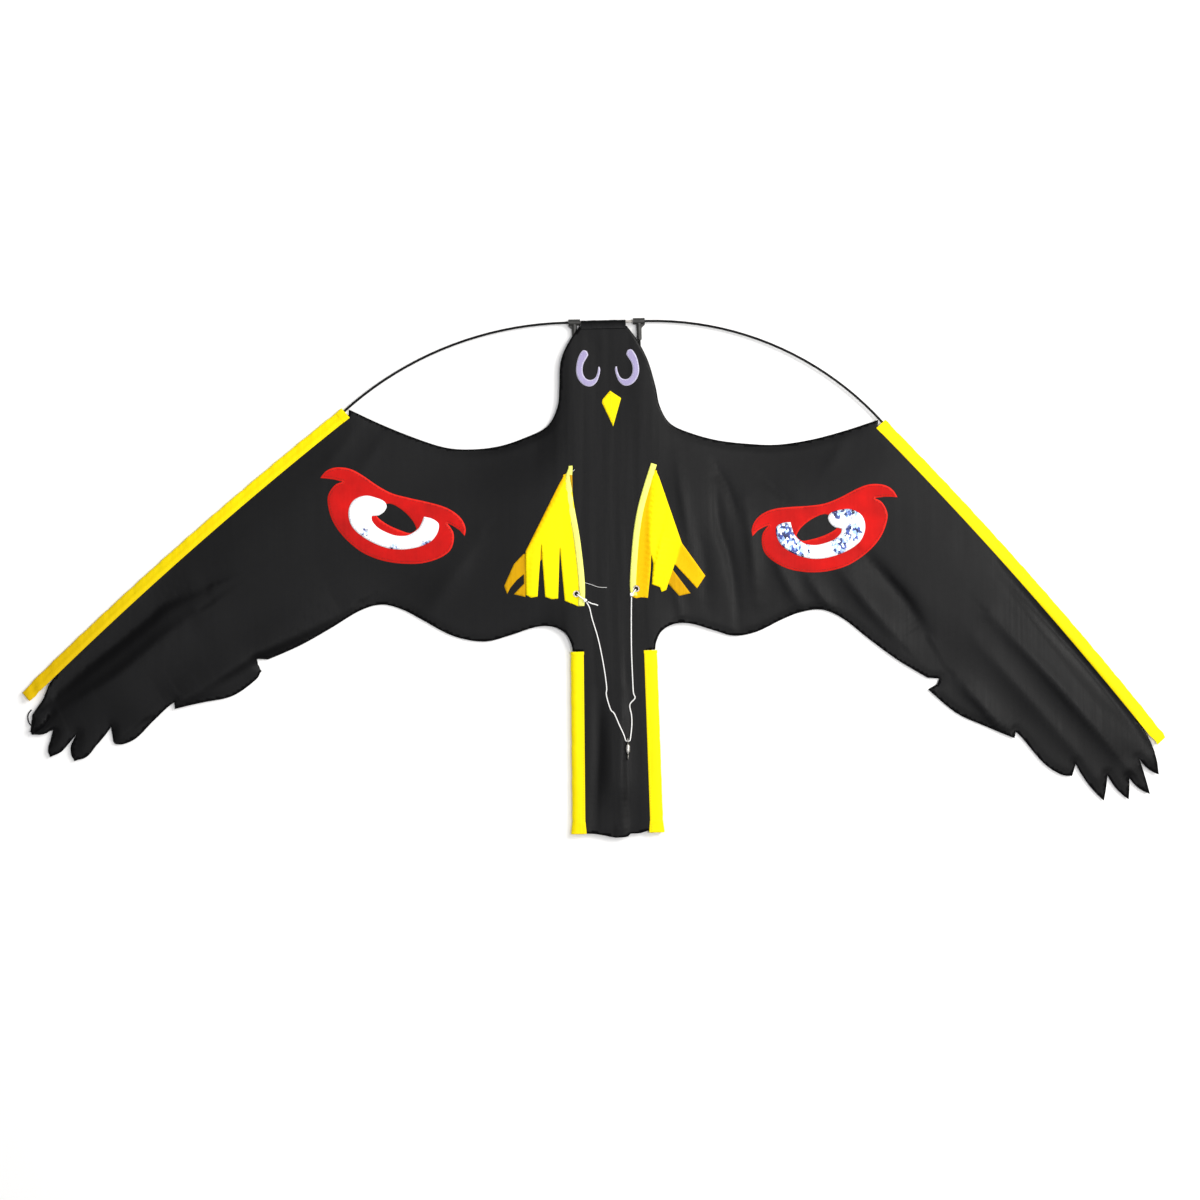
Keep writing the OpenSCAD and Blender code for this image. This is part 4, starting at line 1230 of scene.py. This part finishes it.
def weave(finish, turn=0.0):
    """Plain weave: the product of two sines, one across the warp and one across the weft."""
    x, y = finish.axes(turn)
    k = 2 * math.pi / THREAD
    return (x * k).sin() * (y * k).sin() * 0.5 + 0.5


def cloth(
    name, base, deep, turn=0.0, rough=0.6, sheen=0.0, streak=0.5, specular=0.12, ribs=0.5, depth=0.22,
    painted_light_colour=None, fade=None,
):
    """A woven finish between a base and a deeper colour: streaks along the warp, stains and the weave.

    It takes the painted light colour where a piece's mark is 0, or gradually over the two x values of a fade:
    a painted highlight on figure edges, painted shade on the keels and at the left sleeve's tip."""
    f = Finish(name, Sheen_Weight=sheen, Sheen_Roughness=0.45, Specular_IOR_Level=specular)
    warp = f.noise((620, 9, 9), 3.0, 0.55, turn)
    stain = f.noise((26, 26, 26), 4.0, 0.55, turn)
    threads = weave(f, turn)
    share = (warp * streak + stain * (1 - streak) - 0.32).clip(0.0, 0.36)
    tone = f.mix(share, colour(*base), colour(*deep))
    tone = f.mix(threads * 0.18, tone, colour(*deep))
    # Painted light: painted shade over a span of x, and otherwise the mark's painted highlight and painted
    # shade.
    if fade:
        tone = f.mix(f.axes()[0].clip(*fade), colour(*painted_light_colour), tone)
    elif painted_light_colour:
        inner = f.node("ShaderNodeAttribute", {"attribute_name": "inner"}, out="Fac")
        tone = f.mix(inner, colour(*painted_light_colour), tone)
    return f.paint(
        Base_Color=tone, Roughness=warp * 0.16 + (rough - 0.08),
        Normal=f.bump(threads * 0.5 + warp * ribs + stain * 0.35, depth * MM, 0.5),
    )


finishes = {name: cloth(name, base, deep, **other) for name, (base, deep, other) in CLOTHS.items()}
print("cloth finishes:", ", ".join(finishes))

# %% [markdown]
# ## Film
# The crescents are a holographic film. Most of it throws the light back white; where it turns away it breaks
# up into small flakes of blue, ink and pale cyan. A cell pattern gives the flakes, each with its own tone,
# and a few soft spots say where the film is broken.

# %% Film
FLAKES = [
    (0.0, colour(20, 20, 40)), (0.3, colour(60, 78, 150)), (0.5, colour(150, 180, 232)),
    (0.68, colour(178, 216, 240)), (0.86, colour(246, 248, 252)),
]
FILMS = {
    # Picture point and size in pixels of each broken spot, and how strongly the film is broken there
    "left_glint_film": ([((364, 532), 9), ((394, 548), 9), ((427, 545), 12), ((384, 498), 7)], 0.62),
    "right_glint_film": ([
        ((781, 530), 15), ((788, 542), 16), ((802, 549), 14), ((838, 511), 13), ((852, 512), 10),
        ((853, 532), 14), ((839, 546), 13),
    ], 0.95),
}


def film(name, spots, strength):
    """White film with flakes near the spots: cells of one tone each, where noise and a spot agree."""
    f = Finish(name, Specular_IOR_Level=0.5)
    where = f.place((1, 1, 0))
    broken = 0.0
    for at, size in spots:
        ends = {0: where, 1: (*spot(at), 0)}
        gap = f.node("ShaderNodeVectorMath", {"operation": "DISTANCE"}, ends, out="Value")
        broken = (1 - gap * (1 / (size * PIXEL))).clip(0.0, 0.7) + broken
    pattern = {"Vector": f.place((1, 0.7, 0), 0.5), "Scale": 420.0}
    cells = f.node("ShaderNodeTexVoronoi", {}, pattern, out="Color")
    tone = f.node("ShaderNodeSeparateColor", {}, {0: cells})
    flake = f.node("ShaderNodeValToRGB", {"stops": FLAKES}, {0: tone})
    grain = f.noise((520, 520, 520), 3.0, 0.6)
    share = (broken * strength + grain - 0.9).clip(0.0, 0.22)
    streak = f.noise((300, 40, 60), 4.0, 0.6, 0.4)
    base = f.mix((streak - 0.52).clip(0.0, 0.2), colour(250, 251, 252), colour(222, 234, 246))
    return f.paint(
        Base_Color=f.mix(share, base, flake), Roughness=streak * 0.3 + 0.25,
        Metallic=(share * 0.4 + 0.1).clip(0.0, 1.0), Normal=f.bump(tone + grain * 0.4, 0.0002, 0.4),
    )


finishes.update({name: film(name, *values) for name, values in FILMS.items()})
print("films:", ", ".join(FILMS))

# %% [markdown]
# ## Plastic, metal, cord and thread
# The rods and fittings are dull plastic, the eyelets and the swivel are worn metal, and the cord and the
# threads are spun. At this distance each is two close tones, mixed by noise, with a fine grain, so one
# function serves all of them and a table says how they differ.

# %% Plastic, metal, cord and thread
SOLIDS = {
    # Colour, deeper colour, roughness, scale of the noise and what differs from a plain plastic
    "black_rod": ((14, 14, 15), (8, 8, 9), 0.5, 140, dict(specular=0.12)),
    "head_tube_pale": ((190, 186, 180), (156, 152, 146), 0.45, 220, {}),
    "grey_fitting": ((46, 46, 44), (30, 30, 29), 0.5, 320, dict(grain=0.00018)),
    "eyelet_metal": ((178, 172, 160), (120, 112, 100), 0.34, 500, dict(metallic=1.0)),
    "swivel_metal": ((226, 224, 220), (160, 158, 154), 0.42, 420, dict(metallic=1.0)),
    "swivel_wire": ((190, 188, 184), (120, 118, 114), 0.36, 420, dict(metallic=1.0)),
    "white_cord": ((255, 255, 254), (244, 243, 240), 0.75, 700, dict(grain=0.0003)),
    "dark_thread": ((30, 30, 32), (18, 18, 20), 0.7, 900, {}),
    "red_thread": ((120, 8, 6), (96, 6, 5), 0.7, 900, {}),
    "gold_thread": ((232, 198, 10), (206, 168, 0), 0.7, 900, {}),
    "pale_thread": ((206, 204, 222), (176, 172, 200), 0.7, 900, {}),
    "white_floor": ((250, 250, 250), (248, 248, 248), 0.8, 3, {}),
}


def plain(name, base, deep, rough, scale, metallic=0.0, grain=0.0001, specular=0.5):
    """A solid finish: two tones mixed by noise of a given scale, with a fine grain and rubbed places."""
    f = Finish(name, Metallic=metallic, Specular_IOR_Level=specular)
    tone = f.noise((scale, scale, scale), 4.0, 0.6)
    fine = f.noise((2600, 2600, 2600), 2.0, 0.5)
    return f.paint(
        Base_Color=f.mix((tone - 0.34).clip(0.0, 0.34), colour(*base), colour(*deep)),
        Roughness=tone * 0.24 + (rough - 0.12), Normal=f.bump(fine + tone * 0.4, grain, 0.4),
    )


finishes.update({name: plain(name, *values, **other) for name, (*values, other) in SOLIDS.items()})
print("solid finishes:", ", ".join(SOLIDS))

# %% [markdown]
# ## Which piece gets which finish
# Each finish goes on the pieces that are made of it. Pieces kept from the frame get theirs in the same way,
# in place of what they have.

# %% Finishes on pieces
def dress(name, *pieces):
    """Gives pieces one finish in place of what they have."""
    for made in pieces:
        made.data.materials.clear()
        made.data.materials.append(finishes[name])


def both(ending, among=bpy.data.objects):
    """The left and the right piece with the same ending of their names."""
    return [among[hand + ending] for hand in SIDES]


dress("dark_sail_cloth", sail, hem)
dress("yellow_cloth", *sleeves[1:], figures["beak"])
dress("left_sleeve_painted_shade_cloth", sleeves[0])
dress("keel_yellow_cloth", *both("_keel_front"))
# Painted shade: the keel's under layer and the tuck wear the darker copy of the keel yellow.
dress("keel_cloth_in_painted_shade", *both("_keel_back"), tuck)
dress("red_cloth", *both("_eye_patch", figures))
dress("lavender_cloth", *both("_head_eye", figures))
dress("left_glint_film", figures["left_eye_glint"])
dress("right_glint_film", figures["right_eye_glint"])
dress("binding_tape", *both("_binding_tape"))
dress("white_cord", bridle, *knots, loose)
dress("gold_thread", sleeve_thread, beak_thread)
dress("dark_thread", hem_thread, tip_thread)
dress("red_thread", red_thread)
dress("pale_thread", film_thread, head_thread)
dress("black_rod", *both("_wing_rod", nodes), *both("_spine_rod", nodes))
dress("head_tube_pale", nodes["head_tube"])
dress("grey_fitting", *both("_tee", nodes))
dress("eyelet_metal", *both("_eyelet", nodes))
dress("swivel_metal", nodes["swivel_barrel"])
dress("swivel_wire", nodes["swivel_top_eye"], nodes["swivel_line_eye"])

# %% [markdown]
# ## Floor and light
# The kite lies on a white floor under a broad soft light overhead, which the flat cloth mirrors and the folds
# turn away from. A smaller one at its right does the same for the right wing, and a third, lower and further
# to the right, lights the right side of each fold.

# %% Floor and light
floor = piece("floor", [(-4, -4, 0), (4, -4, 0), (4, 4, 0), (-4, 4, 0)], [(0, 1, 2, 3)])
floor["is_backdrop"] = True
dress("white_floor", floor)
sky = bpy.data.worlds.new("sky")
sky.use_nodes = True
sky.node_tree.nodes["Background"].inputs["Color"].default_value = (1, 1, 1, 1)
sky.node_tree.nodes["Background"].inputs["Strength"].default_value = 0.3
scene.world = sky
for name, place, size, power, tint in [
    # Name, place, size, power and tint
    ("overhead", (-0.1, 0.0, 4.4), (4.0, 1.4), 56.0, (0.98, 0.98, 1.0)),
    ("right_overhead", (1.45, 0.0, 4.3), (0.8, 0.8), 60.0, (1.0, 0.985, 0.965)),
    ("key", (2.3, 1.3, 2.0), (1.6, 1.6), 100.0, (1.0, 0.985, 0.96)),
]:
    lamp = bpy.data.objects.new(name, bpy.data.lights.new(name, "AREA"))
    lamp.data.shape = "RECTANGLE"
    lamp.data.size, lamp.data.size_y = size
    lamp.data.energy = power
    lamp.data.color = tint
    lamp.location = place
    lamp.rotation_euler = (Vector((*LOOK_AT, 0)) - Vector(place)).to_track_quat("-Z", "Y").to_euler()
    scene.collection.objects.link(lamp)
scene.view_settings.view_transform = "Standard"

# %% [markdown]
# ## Size
# The size of the kite as it is dressed here is printed.

# %% Size and finish
low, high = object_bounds()
print("size: %s mm" % np.round((np.array(high) - np.array(low)) / MM, 1))
